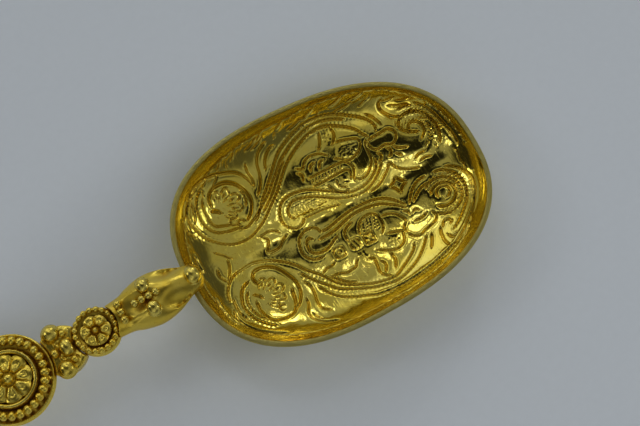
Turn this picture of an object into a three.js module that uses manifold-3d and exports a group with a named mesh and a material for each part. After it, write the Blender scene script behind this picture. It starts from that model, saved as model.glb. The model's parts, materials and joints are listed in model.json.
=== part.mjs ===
// A gilt souvenir spoon in the pattern of a medieval anointing spoon.
// A broad two-lobed bowl is held in a beast's mouth; behind it come a small roundel, a pearled link,
// a large roundel, the same pieces again in mirror order, a twisted shaft and a flattened knop.
// Millimetres, +Z up. The spoon lies as it rests on a table: origin on the table, under the middle
// of its box, with +X towards the tip of the bowl.
import * as THREE from 'three';
import { mergeVertices } from 'three/addons/utils/BufferGeometryUtils.js';
import Module from 'manifold-3d';

const wasm = await Module();
wasm.setup();

// ---- Driving dimensions, in millimetres and degrees ----
const bowlLength = 46;
const bowlWidth = 33.8;
const bowlDepth = 6.5;
const bowlWall = 0.9;
const bowlPlumpness = 2.5;        // exponent of the superellipse: 2 is an ellipse
const bowlTipTaper = 0.045;       // how much narrower than a superellipse the tip half is
const ridgeHeight = 1.2;          // the ridge that parts the two lobes
const ridgeSpread = 2.2;

const handleDroop = 9;            // degrees the handle falls below the plane of the rim
const handleRise = 0.74;          // height of the handle's working line over the rim at the heel
const solderGap = 0.05;           // clearance between soldered neighbours

const headLength = 13.3;
const headWidth = 7.4;
const headNeckWidth = 5;
const headMuzzleWidth = 5;
const headFlatness = 0.78;        // height of the head's crown over its half width
const headBackDepth = 2;          // thickness of the head below the handle's working line
const muzzleReach = 2.4;          // how far the front muzzle passes over the rim
const eyeDiameter = 1.9;
const eyeSpacing = 3.4;
const eyeSetback = 8;             // from the muzzle's front back to the eyes
const noseDiameter = 2.4;
const noseSetback = 1.35;         // of the front nose, from the muzzle's front
const browBeadDiameter = 1;
const browBeadCount = 4;
const neckBeadDiameter = 1.1;
const neckBeadCount = 3;

const backDepth = 1.5;            // thickness of the handle below its working line
const smallRoundelDiameter = 6.8;
const smallBeadDiameter = 0.85;
const smallBeadCount = 20;
const smallRosetteDiameter = 4.4;
const largeRoundelDiameter = 12.8;
const largeBeadDiameter = 1.3;
const largeBeadCount = 20;
const collarDiameter = 8.5;
const collarWidth = 0.75;
const collarHeight = 0.8;
const rosetteHeight = 0.7;
const rosettePetals = 8;

const linkLength = 3.9;
const linkWidth = 7;
const pearlDiameter = 2.3;
const pearlSpacing = 5.5;
const linkDomeDiameter = 2.2;
const bossSeatDepth = 0.5;        // how deep each boss is let into its seat

const shaftLength = 43;
const shaftStartDiameter = 3.2;
const shaftEndDiameter = 2.5;
const shaftSocketDepth = 2.2;     // from the rear muzzle's front to the shaft's end
const socketWall = 0.25;          // between the shaft's socket and the seat of the rear nose
const shaftTwistTurns = 2.5;
const shaftFluteDepth = 0.16;     // share of the radius
const shaftFlutes = 4;
const knopLength = 8.5;
const knopWidth = 7;
const knopFlatness = 0.62;        // thickness of the knop over its width

// ---- Sizes that follow from the driving dimensions ----
const smallRoundelRadius = smallRoundelDiameter / 2;
const largeRoundelRadius = largeRoundelDiameter / 2;
const smallRoundelX = largeRoundelRadius + linkLength + smallRoundelRadius;
const neckX = smallRoundelX + smallRoundelRadius;
const muzzleX = neckX + headLength;
const heelX = muzzleX - muzzleReach;
const collarRadius = collarDiameter / 2;
const largeRosetteDiameter = collarDiameter - 2 * collarWidth - 2 * solderGap;
const rearNoseSetback = shaftSocketDepth + socketWall + noseDiameter / 2 + 2 * solderGap;

// ---- Materials and nodes ----
const gilt = { color: 0xd9b53c, roughness: 0.22, metalness: 1 };
const wornGilt = { color: 0xd3c07a, roughness: 0.28, metalness: 1 };

function addNode(parent, name, geometry, finish = gilt) {
  const node = new THREE.Mesh(geometry, new THREE.MeshStandardMaterial(finish));
  node.name = name;
  parent.add(node);
  return node;
}

// ---- Solids ----
function toSolid(geometry) {
  const bare = geometry.clone();
  bare.deleteAttribute('normal');
  bare.deleteAttribute('uv');
  const merged = mergeVertices(bare, 1e-5);
  const vertProperties = new Float32Array(merged.attributes.position.array);
  const triVerts = new Uint32Array(merged.index.array);
  return new wasm.Manifold(new wasm.Mesh({ numProp: 3, vertProperties, triVerts }));
}

function toGeometry(solid) {
  const mesh = solid.getMesh();
  const geometry = new THREE.BufferGeometry();
  geometry.setAttribute('position', new THREE.BufferAttribute(new Float32Array(mesh.vertProperties), 3));
  geometry.setIndex(new THREE.BufferAttribute(new Uint32Array(mesh.triVerts), 1));
  geometry.computeVertexNormals();
  return geometry;
}

function cutAway(geometry, cutters) {
  let solid = toSolid(geometry);
  for (const cutter of cutters) {
    solid = solid.subtract(toSolid(cutter));
  }
  return toGeometry(solid);
}

// Moves every vertex of a geometry by a function that changes the vector it is given.
function reshape(geometry, move) {
  const position = geometry.attributes.position;
  const point = new THREE.Vector3();
  for (let i = 0; i < position.count; i += 1) {
    point.fromBufferAttribute(position, i);
    move(point);
    position.setXYZ(i, point.x, point.y, point.z);
  }
  geometry.computeVertexNormals();
  return geometry;
}

// A turned shape standing on the XY plane: the outline holds [radius, height] pairs.
function turned(outline, segments = 24) {
  const points = outline.map(([radius, height]) => new THREE.Vector2(Math.max(radius, 0), height));
  return new THREE.LatheGeometry(points, segments).rotateX(Math.PI / 2);
}

// A turned shape lying along X.
function turnedAlongX(outline, segments = 24) {
  return turned(outline, segments).rotateY(Math.PI / 2);
}

function disc(radius, bottom, top, segments = 36) {
  return turned([[0, bottom], [radius, bottom], [radius, top], [0, top]], segments);
}

// ---- Bowl ----
// Distance from the centre of the bowl to its outline, in the direction of a turn.
function outlineRadius(turn, halfLength, halfWidth) {
  const along = Math.abs(Math.cos(turn)) / halfLength;
  const across = Math.abs(Math.sin(turn)) / halfWidth;
  return (along ** bowlPlumpness + across ** bowlPlumpness) ** (-1 / bowlPlumpness);
}

// The sheet falls steeply from the rim to a broad floor, which the ridge parts along its middle.
function sheetHeight(share, x, y, depth) {
  const fall = (1 - share ** 4) ** 0.7;
  const ridge = ridgeHeight * Math.exp(-((y / ridgeSpread) ** 2)) * (1 - share ** 4);
  return ridge - depth * fall;
}

function bowlGeometry() {
  const shares = [0, 0.04, 0.1, 0.2, 0.34, 0.5, 0.66, 0.79, 0.89, 0.96, 0.99, 1];
  const underside = -1;
  const inside = 1;
  const outline = shares.map((share) => new THREE.Vector2(share, underside));
  outline.push(...shares.toReversed().map((share) => new THREE.Vector2(share, inside)));
  const geometry = new THREE.LatheGeometry(outline, 60).rotateX(Math.PI / 2);
  return reshape(geometry, (point) => {
    const isInside = point.z > 0;
    const share = Math.min(Math.hypot(point.x, point.y), 1);
    const turn = Math.atan2(point.y, point.x);
    const inset = isInside ? bowlWall : 0;
    const depth = isInside ? bowlDepth : bowlDepth + bowlWall;
    const halfLength = bowlLength / 2 - inset;
    const halfWidth = bowlWidth / 2 - inset;
    const reach = share * outlineRadius(turn, halfLength, halfWidth);
    point.x = reach * Math.cos(turn);
    point.y = reach * Math.sin(turn) * (1 - bowlTipTaper * point.x / halfLength);
    point.z = sheetHeight(share, point.x, point.y, depth);
  });
}

// ---- Bosses, bead wires and rosettes ----
// A round boss on a short stem that is let into a seat; its seat level is z = 0.
function bossGeometry(diameter) {
  const radius = diameter / 2;
  const outline = [[0, solderGap - bossSeatDepth], [radius, solderGap - bossSeatDepth]];
  const steps = 4;
  for (let i = 0; i <= steps; i += 1) {
    const angle = (Math.PI / 2) * (i / steps);
    outline.push([radius * Math.cos(angle), radius * Math.sin(angle)]);
  }
  return turned(outline, 14);
}

// The pocket that takes a boss, open upwards.
function seatCutter(diameter, x, y, z) {
  const pocket = disc(diameter / 2 + solderGap, -bossSeatDepth, headWidth, 14);
  return pocket.translate(x, y, z);
}

// A straight bead wire along X: beads turned on one thin wire.
function beadStripGeometry(diameter, count) {
  const outline = [[0, -diameter * count / 2]];
  const steps = 5;
  for (let bead = 0; bead < count; bead += 1) {
    const centre = diameter * (bead - (count - 1) / 2);
    for (let i = 1; i < steps; i += 1) {
      const angle = Math.PI * (i / steps);
      outline.push([Math.sin(angle) * diameter / 2, centre - Math.cos(angle) * diameter / 2]);
    }
  }
  outline.push([0, diameter * count / 2]);
  return turnedAlongX(outline, 8);
}

function beadStripCutter(diameter, count) {
  const radius = diameter / 2 + solderGap;
  const reach = diameter * count / 2 + solderGap;
  return turnedAlongX([[0, -reach], [radius, -reach], [radius, reach], [0, reach]], 16);
}

// A ring of beads joined by their wire, lying on z = 0.
function beadRingGeometry(radius, diameter, count) {
  const segmentsPerBead = 4;
  const wireShare = 0.45;
  const geometry = new THREE.TorusGeometry(radius, diameter / 2, 6, count * segmentsPerBead);
  return reshape(geometry, (point) => {
    const turn = Math.atan2(point.y, point.x);
    const place = (turn * count) / (2 * Math.PI);
    const acrossBead = 2 * (place - Math.floor(place + 1e-6)) - 1;
    const roundness = Math.sqrt(Math.max(1 - acrossBead ** 2, 0));
    const swell = Math.max(roundness, wireShare);
    const fromAxis = Math.hypot(point.x, point.y);
    const newFromAxis = radius + (fromAxis - radius) * swell;
    point.x *= newFromAxis / fromAxis;
    point.y *= newFromAxis / fromAxis;
    point.z = point.z * swell + diameter / 2;
  });
}

// A domed rosette with lobed petals round a centre bead, lying on z = 0.
function rosetteGeometry(diameter) {
  const radius = diameter / 2;
  const beadShare = 0.26;
  const outline = [
    [0, 0],
    [radius, 0],
    [radius, rosetteHeight * 0.45],
    [radius * 0.85, rosetteHeight * 0.85],
    [radius * 0.6, rosetteHeight],
    [radius * 0.38, rosetteHeight * 0.6],
    [radius * beadShare, rosetteHeight * 0.7],
    [radius * beadShare * 0.7, rosetteHeight * 1.3],
    [0, rosetteHeight * 1.5],
  ];
  return reshape(turned(outline, 4 * rosettePetals), (point) => {
    const fromAxis = Math.hypot(point.x, point.y);
    const turn = Math.atan2(point.y, point.x);
    const lobe = Math.abs(Math.cos(turn * rosettePetals / 2));
    const petal = THREE.MathUtils.smoothstep(fromAxis / radius, beadShare, 1);
    const pull = 1 - 0.16 * petal * (1 - lobe);
    point.x *= pull;
    point.y *= pull;
    point.z *= 1 - 0.35 * petal * (1 - lobe);
  });
}

function collarGeometry() {
  const inner = collarRadius - collarWidth;
  const outline = [
    [inner, 0],
    [collarRadius, 0],
    [collarRadius, collarHeight * 0.6],
    [collarRadius - collarWidth * 0.3, collarHeight],
    [inner + collarWidth * 0.3, collarHeight],
    [inner, collarHeight * 0.6],
    [inner, 0],
  ];
  return turned(outline, 36);
}

// ---- Handle pieces, with the large roundel's centre at x = 0 ----
function roundelGeometry(radius) {
  const rounding = 0.3;
  const outline = [
    [0, -backDepth],
    [radius - rounding, -backDepth],
    [radius, rounding - backDepth],
    [radius, -rounding],
    [radius - rounding, 0],
    [0, 0],
  ];
  return turned(outline, 36);
}

// The cutter that leaves room for a roundel beside a piece that meets its edge.
function roundelCutter(x, radius) {
  return disc(radius + solderGap, -headWidth, headWidth).translate(x, 0, 0);
}

// A beast's head lying along X: neck at the small roundel, muzzle away from it, flat back.
function headGeometry(setback, cutters) {
  const neckOverlap = 0.8;
  const outline = new THREE.SplineCurve([
    new THREE.Vector2(headNeckWidth / 2, -neckOverlap),
    new THREE.Vector2(headWidth / 2 * 0.86, headLength * 0.2),
    new THREE.Vector2(headWidth / 2, headLength * 0.4),
    new THREE.Vector2(headWidth / 2 * 0.9, headLength * 0.6),
    new THREE.Vector2(headMuzzleWidth / 2, headLength * 0.82),
    new THREE.Vector2(headMuzzleWidth / 2 * 0.72, headLength * 0.95),
    new THREE.Vector2(0, headLength),
  ]).getPoints(14).map((point) => [point.x, point.y]);
  const head = turnedAlongX([[0, -neckOverlap], ...outline], 24);
  reshape(head, (point) => {
    point.z = Math.max(point.z * headFlatness, -headBackDepth);
    point.x += neckX;
  });
  const eyeX = muzzleX - eyeSetback;
  const eyeZ = headWidth / 2 * headFlatness * 0.82;
  const noseX = muzzleX - setback;
  const noseZ = headMuzzleWidth / 2 * headFlatness * 0.62;
  const browX = eyeX - browBeadDiameter * 0.4;
  const browZ = headWidth / 2 * headFlatness - browBeadDiameter * 0.1;
  const neckBeadX = neckX + neckBeadDiameter * 0.9;
  const neckBeadZ = headNeckWidth / 2 * headFlatness + neckBeadDiameter * 0.2;
  const brow = beadStripCutter(browBeadDiameter, browBeadCount).translate(browX, 0, browZ);
  const neck = beadStripCutter(neckBeadDiameter, neckBeadCount).rotateZ(Math.PI / 2);
  const seats = [
    seatCutter(eyeDiameter, eyeX, eyeSpacing / 2, eyeZ),
    seatCutter(eyeDiameter, eyeX, -eyeSpacing / 2, eyeZ),
    seatCutter(noseDiameter, noseX, 0, noseZ),
    brow,
    neck.translate(neckBeadX, 0, neckBeadZ),
    roundelCutter(smallRoundelX, smallRoundelRadius),
  ];
  const geometry = cutAway(head, [...seats, ...cutters]);
  return { geometry, eyeX, eyeZ, noseX, noseZ, browX, browZ, neckBeadX, neckBeadZ };
}

function linkGeometry() {
  const saddle = 1.6;
  const outline = new THREE.Shape();
  outline.absellipse(0, 0, linkLength / 2 + saddle, linkWidth / 2, 0, 2 * Math.PI);
  const plate = new THREE.ExtrudeGeometry(outline, {
    depth: backDepth,
    bevelEnabled: false,
    curveSegments: 24,
  });
  plate.translate(largeRoundelRadius + linkLength / 2, 0, -backDepth);
  const pearlX = largeRoundelRadius + pearlDiameter * 0.62;
  const domeX = largeRoundelRadius + linkLength - linkDomeDiameter * 0.55;
  const geometry = cutAway(plate, [
    roundelCutter(0, largeRoundelRadius),
    roundelCutter(smallRoundelX, smallRoundelRadius),
    seatCutter(pearlDiameter, pearlX, pearlSpacing / 2, 0),
    seatCutter(pearlDiameter, pearlX, -pearlSpacing / 2, 0),
    seatCutter(linkDomeDiameter, domeX, 0, 0),
  ]);
  return { geometry, pearlX, domeX };
}

// One end of the ornament, from the link out to the beast's head.
function addOrnamentEnd(parent, end, setback, headCutters) {
  const link = linkGeometry();
  addNode(parent, `${end}_link`, link.geometry);
  for (const [side, sign] of [['left', 1], ['right', -1]]) {
    const pearl = addNode(parent, `${end}_pearl_${side}`, bossGeometry(pearlDiameter), wornGilt);
    pearl.position.set(link.pearlX, sign * pearlSpacing / 2, 0);
  }
  const dome = addNode(parent, `${end}_link_dome`, bossGeometry(linkDomeDiameter));
  dome.position.set(link.domeX, 0, 0);

  addNode(parent, `${end}_small_roundel`, roundelGeometry(smallRoundelRadius)).position.x = smallRoundelX;
  const ringRadius = smallRoundelRadius - smallBeadDiameter / 2;
  const ring = beadRingGeometry(ringRadius, smallBeadDiameter, smallBeadCount);
  addNode(parent, `${end}_small_roundel_beading`, ring).position.set(smallRoundelX, 0, solderGap);
  const rosette = rosetteGeometry(smallRosetteDiameter);
  addNode(parent, `${end}_small_rosette`, rosette).position.set(smallRoundelX, 0, solderGap);

  const head = headGeometry(setback, headCutters);
  addNode(parent, `${end}_beast_head`, head.geometry, wornGilt);
  for (const [side, sign] of [['left', 1], ['right', -1]]) {
    const eye = addNode(parent, `${end}_eye_${side}`, bossGeometry(eyeDiameter), wornGilt);
    eye.position.set(head.eyeX, sign * eyeSpacing / 2, head.eyeZ);
  }
  const nose = addNode(parent, `${end}_nose_boss`, bossGeometry(noseDiameter), wornGilt);
  nose.position.set(head.noseX, 0, head.noseZ);
  const brow = addNode(parent, `${end}_brow_beads`, beadStripGeometry(browBeadDiameter, browBeadCount));
  brow.position.set(head.browX, 0, head.browZ);
  const neck = addNode(parent, `${end}_neck_beads`, beadStripGeometry(neckBeadDiameter, neckBeadCount));
  neck.position.set(head.neckBeadX, 0, head.neckBeadZ);
  neck.rotation.z = Math.PI / 2;
}

function addLargeRoundel(parent) {
  addNode(parent, 'large_roundel', roundelGeometry(largeRoundelRadius));
  const beadRadius = (collarRadius + largeRoundelRadius) / 2;
  const beading = beadRingGeometry(beadRadius, largeBeadDiameter, largeBeadCount);
  addNode(parent, 'large_roundel_beading', beading).position.z = solderGap;
  addNode(parent, 'large_roundel_collar', collarGeometry(), wornGilt).position.z = solderGap;
  const rosette = rosetteGeometry(largeRosetteDiameter);
  addNode(parent, 'large_rosette', rosette).position.z = solderGap;
}

// A fluted shaft along -X whose flutes wind round it as it thins towards the knop.
function shaftGeometry() {
  const geometry = new THREE.CylinderGeometry(1, 1, shaftLength, 16, 36).rotateZ(Math.PI / 2);
  return reshape(geometry, (point) => {
    const along = 0.5 - point.x / shaftLength;
    const fromAxis = Math.hypot(point.y, point.z);
    const turn = Math.atan2(point.z, point.y);
    const wind = 2 * Math.PI * shaftTwistTurns * along;
    const plainEnd = shaftSocketDepth * 1.6 / shaftLength;
    const fade = Math.min(along / plainEnd, (1 - along) / plainEnd, 1);
    const flute = 1 - shaftFluteDepth * fade * (0.5 - 0.5 * Math.cos(shaftFlutes * turn - wind));
    const diameter = THREE.MathUtils.lerp(shaftStartDiameter, shaftEndDiameter, along);
    const reach = (fromAxis * flute * diameter) / 2;
    point.y = reach * Math.cos(turn);
    point.z = reach * Math.sin(turn);
  });
}

function knopGeometry() {
  const widest = knopWidth / 2;
  const outline = new THREE.SplineCurve([
    new THREE.Vector2(shaftEndDiameter / 2, 0),
    new THREE.Vector2(shaftEndDiameter / 2 * 1.05, knopLength * 0.14),
    new THREE.Vector2(widest * 0.78, knopLength * 0.34),
    new THREE.Vector2(widest, knopLength * 0.6),
    new THREE.Vector2(widest * 0.72, knopLength * 0.88),
    new THREE.Vector2(0, knopLength),
  ]).getPoints(12).map((point) => [point.x, point.y]);
  const knop = turnedAlongX([[0, 0], ...outline], 22);
  return reshape(knop, (point) => {
    const flattening = THREE.MathUtils.smoothstep(point.x / knopLength, 0.1, 0.45);
    point.z *= 1 - (1 - knopFlatness) * flattening;
  });
}

// ---- Assembly ----
const spoon = new THREE.Group();
const resting = new THREE.Group();
spoon.add(resting);

const bowl = addNode(resting, 'bowl', bowlGeometry());

const handle = new THREE.Group();
const droop = THREE.MathUtils.degToRad(handleDroop);
handle.rotation.y = -droop;
handle.position.set(
  -bowlLength / 2 - heelX * Math.cos(droop),
  0,
  handleRise - heelX * Math.sin(droop),
);
resting.add(handle);

// The front muzzle is notched so that it sits on the rim and against the heel's outer wall.
const rimNotch = new THREE.BoxGeometry(2 * headLength, 2 * headWidth, 2 * headWidth);
rimNotch.translate(headLength - solderGap - bowlLength / 2, 0, solderGap - headWidth);
handle.updateMatrix();
rimNotch.applyMatrix4(handle.matrix.clone().invert());
addOrnamentEnd(handle, 'front', noseSetback, [rimNotch]);
addLargeRoundel(handle);

const rearEnd = new THREE.Group();
rearEnd.rotation.z = Math.PI;
handle.add(rearEnd);
const socketRadius = shaftStartDiameter / 2 + solderGap;
const shaftX = muzzleX - shaftSocketDepth;
const shaftSocket = turnedAlongX([[0, 0], [socketRadius, 0], [socketRadius, headLength], [0, headLength]]);
shaftSocket.translate(shaftX - solderGap, 0, 0);
addOrnamentEnd(rearEnd, 'rear', rearNoseSetback, [shaftSocket]);

const shaft = addNode(handle, 'twisted_shaft', shaftGeometry());
shaft.position.x = -shaftX - shaftLength / 2;
const knop = addNode(handle, 'knop', knopGeometry());
knop.rotation.z = Math.PI;
knop.position.x = -shaftX - shaftLength - solderGap;

// Lays the spoon down: it tips about Y until the bowl and the knop stand on one level.
function lowestPoint(object) {
  spoon.updateMatrixWorld(true);
  return new THREE.Box3().setFromObject(object, true).min.z;
}

let lowTip = -Math.PI / 8;
let highTip = Math.PI / 8;
for (let halving = 0; halving < 40; halving += 1) {
  resting.rotation.y = (lowTip + highTip) / 2;
  if (lowestPoint(bowl) > lowestPoint(knop)) {
    lowTip = resting.rotation.y;
  } else {
    highTip = resting.rotation.y;
  }
}
const box = new THREE.Box3().setFromObject(spoon, true);
resting.position.set(-(box.min.x + box.max.x) / 2, -(box.min.y + box.max.y) / 2, -box.min.z);
spoon.updateMatrixWorld(true);

export default spoon;
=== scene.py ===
import json
from math import atan2, cos, exp, hypot, pi, radians, sin, sqrt

import bmesh
import bpy
import numpy as np
from bpy.props import FloatProperty, FloatVectorProperty, PointerProperty
from mathutils import Matrix, Vector, noise


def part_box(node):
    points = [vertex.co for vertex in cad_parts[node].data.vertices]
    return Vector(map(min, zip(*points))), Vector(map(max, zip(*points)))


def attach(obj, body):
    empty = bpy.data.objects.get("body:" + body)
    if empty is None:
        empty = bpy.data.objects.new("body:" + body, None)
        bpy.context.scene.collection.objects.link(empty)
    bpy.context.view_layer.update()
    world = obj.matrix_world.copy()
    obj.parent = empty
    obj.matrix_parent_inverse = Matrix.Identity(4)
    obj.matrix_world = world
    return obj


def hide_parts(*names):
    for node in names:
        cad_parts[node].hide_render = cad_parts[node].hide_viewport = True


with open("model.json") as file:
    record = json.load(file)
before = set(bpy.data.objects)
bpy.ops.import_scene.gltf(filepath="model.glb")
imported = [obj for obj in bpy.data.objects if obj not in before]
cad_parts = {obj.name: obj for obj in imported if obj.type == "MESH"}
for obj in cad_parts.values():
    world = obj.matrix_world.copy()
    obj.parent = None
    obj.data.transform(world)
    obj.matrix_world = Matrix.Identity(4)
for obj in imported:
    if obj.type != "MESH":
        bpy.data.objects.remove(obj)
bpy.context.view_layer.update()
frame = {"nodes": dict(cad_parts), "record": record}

bl_info = {
    "name": "Gilt Anointing Spoon",
    "version": (1, 0, 0),
    "blender": (4, 5, 0),
    "location": "View3D > Sidebar > Spoon",
    "description": "Makes the engraved bowl, the handle's ornaments and the studio for a gilt spoon",
    "category": "Add Mesh",
}

MM = 0.001

# ---- Places that come from the frame ----
# The handle's frame has its origin at the large roundel's centre, on the top of the roundel plates,
# with +X along the handle towards the bowl and +Z out of the ornament.
BACK_MOUNT = frame["record"]["mounts"][0]
HANDLE_UP = -Vector(BACK_MOUNT["axis"]).normalized()
HANDLE_ALONG = Vector((HANDLE_UP.z, 0, -HANDLE_UP.x))
PLATE_DEPTH = 1.5 * MM
HANDLE_ORIGIN = Vector(BACK_MOUNT["pos_m"]) + HANDLE_UP * PLATE_DEPTH
HANDLE_DROOP = radians(9)
BOWL_TILT = HANDLE_DROOP - atan2(HANDLE_ALONG.z, HANDLE_ALONG.x)


def axes_matrix(along, up, origin):
    across = up.cross(along)
    turn = Matrix((along, across, up)).transposed().to_4x4()
    return Matrix.Translation(origin) @ turn


HANDLE = axes_matrix(HANDLE_ALONG, HANDLE_UP, HANDLE_ORIGIN)
ENDS = {"front": HANDLE, "rear": HANDLE @ Matrix.Rotation(pi, 4, "Z")}

# The bowl's frame has its origin in the middle of the rim's plane, with +X towards the tip.
BOWL_LOW, BOWL_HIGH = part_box("bowl")
BOWL_HALF_WIDTH = (BOWL_HIGH.y - BOWL_LOW.y) / 2
BOWL_WALL = 0.9 * MM
RIM_WIDTH = 0.74 * MM
BOWL_DEPTH = 6.5 * MM
BOWL_HALF_LENGTH = 23 * MM
PLUMPNESS = 2.5
BOWL_ORIGIN = Vector((
    BOWL_LOW.x + BOWL_HALF_LENGTH * cos(BOWL_TILT),
    0,
    BOWL_HIGH.z - BOWL_HALF_LENGTH * sin(BOWL_TILT),
))
BOWL_ALONG = Vector((cos(BOWL_TILT), 0, -sin(BOWL_TILT)))
BOWL = axes_matrix(BOWL_ALONG, Vector((sin(BOWL_TILT), 0, cos(BOWL_TILT))), BOWL_ORIGIN)


def node_extent(node, place):
    """Lowest and highest corner of a CAD node, measured along the axes of a place."""
    back = place.inverted()
    corners = np.array([back @ vertex.co for vertex in frame["nodes"][node].data.vertices])
    return Vector(corners.min(0)), Vector(corners.max(0))


# ---- Settings ----
class SpoonGilt(bpy.types.PropertyGroup):
    gilt: FloatVectorProperty(
        name="Gilt", description="Colour of the gold layer",
        subtype="COLOR", size=3, default=(0.86, 0.68, 0.13), min=0, max=1)
    pale_gilt: FloatVectorProperty(
        name="Pale Gilt", description="Colour where polishing has thinned the gold",
        subtype="COLOR", size=3, default=(0.84, 0.74, 0.23), min=0, max=1)
    # Painted shade: this colour stands in for the shade in hollows, grooves and crevices, and also colours
    # the random dark specks.
    shade_and_speck_gilt: FloatVectorProperty(
        name="Deep Gilt", description="Colour of the gold and lacquer left in the hollows",
        subtype="COLOR", size=3, default=(0.52, 0.31, 0.02), min=0, max=1)
    dull_gilt: FloatVectorProperty(
        name="Dull Gilt", description="Colour of the worn gold on the filed edges",
        subtype="COLOR", size=3, default=(0.46, 0.40, 0.15), min=0, max=1)
    gloss_roughness: FloatProperty(
        name="Roughness", description="Roughness of the polished gold",
        subtype="FACTOR", default=0.13, min=0, max=1)


class SpoonEngraving(bpy.types.PropertyGroup):
    line_width: FloatProperty(
        name="Line Width", description="Width of an engraved line",
        unit="LENGTH", default=0.44 * MM, min=0)
    line_depth: FloatProperty(
        name="Line Depth", description="Depth of an engraved line",
        unit="LENGTH", default=0.30 * MM, min=0)
    rope_pitch: FloatProperty(
        name="Rope Pitch", description="Length of one turn of a roped line",
        unit="LENGTH", default=0.58 * MM, min=0)
    ridge_height: FloatProperty(
        name="Ridge Height", description="Height of the ridge between the lobes",
        unit="LENGTH", default=1.0 * MM, min=0)
    ridge_shift: FloatProperty(
        name="Ridge Shift", description="How far the hammered ridge lies off the middle",
        unit="LENGTH", default=0.9 * MM)
    dent_height: FloatProperty(
        name="Dent Height", description="Height of the waves that the hammer left in the floor",
        unit="LENGTH", default=0.06 * MM, min=0)


class SpoonStage(bpy.types.PropertyGroup):
    floor_colour: FloatVectorProperty(
        name="Floor", description="Colour of the paper floor",
        subtype="COLOR", size=3, default=(0.78, 0.82, 0.86), min=0, max=1)
    distance: FloatProperty(
        name="Distance", description="From the bowl to the camera",
        unit="LENGTH", default=262.12 * MM, min=0)
    elevation: FloatProperty(
        name="Elevation", description="Camera's height over the plane of the rim",
        unit="ROTATION", subtype="ANGLE", default=radians(71.762))
    heading: FloatProperty(
        name="Heading", description="How far the spoon is turned in the view",
        unit="ROTATION", subtype="ANGLE", default=radians(34.598))
    roll: FloatProperty(
        name="Roll", description="Roll of the camera",
        unit="ROTATION", subtype="ANGLE", default=radians(6.466))
    lens: FloatProperty(
        name="Lens", description="Focal length in millimetres for a 36 mm sensor", default=105.02, min=1)


# ---- Shader groups ----
def add_node(tree, kind, inputs=None, **settings):
    """Adds a node; its inputs are plain values or the output sockets of other nodes."""
    node = tree.nodes.new(kind)
    for name, value in settings.items():
        setattr(node, name, value)
    for name, value in (inputs or {}).items():
        if isinstance(value, bpy.types.NodeSocket):
            tree.links.new(value, node.inputs[name])
        else:
            node.inputs[name].default_value = value
    return node


def new_group(name, inputs, outputs):
    tree = bpy.data.node_groups.new(name, "ShaderNodeTree")
    for label, kind, default in inputs:
        socket = tree.interface.new_socket(label, in_out="INPUT", socket_type=kind)
        socket.default_value = default
    for label, kind in outputs:
        tree.interface.new_socket(label, in_out="OUTPUT", socket_type=kind)
    return tree, tree.nodes.new("NodeGroupInput").outputs, tree.nodes.new("NodeGroupOutput")


def add_math(tree, operation, first, second=0.0, third=0.0, clamp=False):
    node = add_node(tree, "ShaderNodeMath", {0: first, 1: second, 2: third}, operation=operation)
    node.use_clamp = clamp
    return node.outputs[0]


def add_mix(tree, factor, first, second):
    """Mixes two colours by a factor."""
    node = tree.nodes.new("ShaderNodeMix")
    node.data_type = "RGBA"
    for index, value in ((0, factor), (6, first), (7, second)):
        if isinstance(value, bpy.types.NodeSocket):
            tree.links.new(value, node.inputs[index])
        else:
            node.inputs[index].default_value = value
    return node.outputs[2]


def add_ramp(tree, value, low, high):
    """A smooth step from 0 at low to 1 at high."""
    node = add_node(tree, "ShaderNodeMapRange", {"Value": value, "From Min": low, "From Max": high})
    node.interpolation_type = "SMOOTHSTEP"
    return node.outputs["Result"]


def add_noise(tree, vector, scale, detail=3.0, roughness=0.55):
    inputs = {"Vector": vector, "Scale": scale, "Detail": detail, "Roughness": roughness}
    return add_node(tree, "ShaderNodeTexNoise", inputs).outputs["Fac"]


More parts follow.
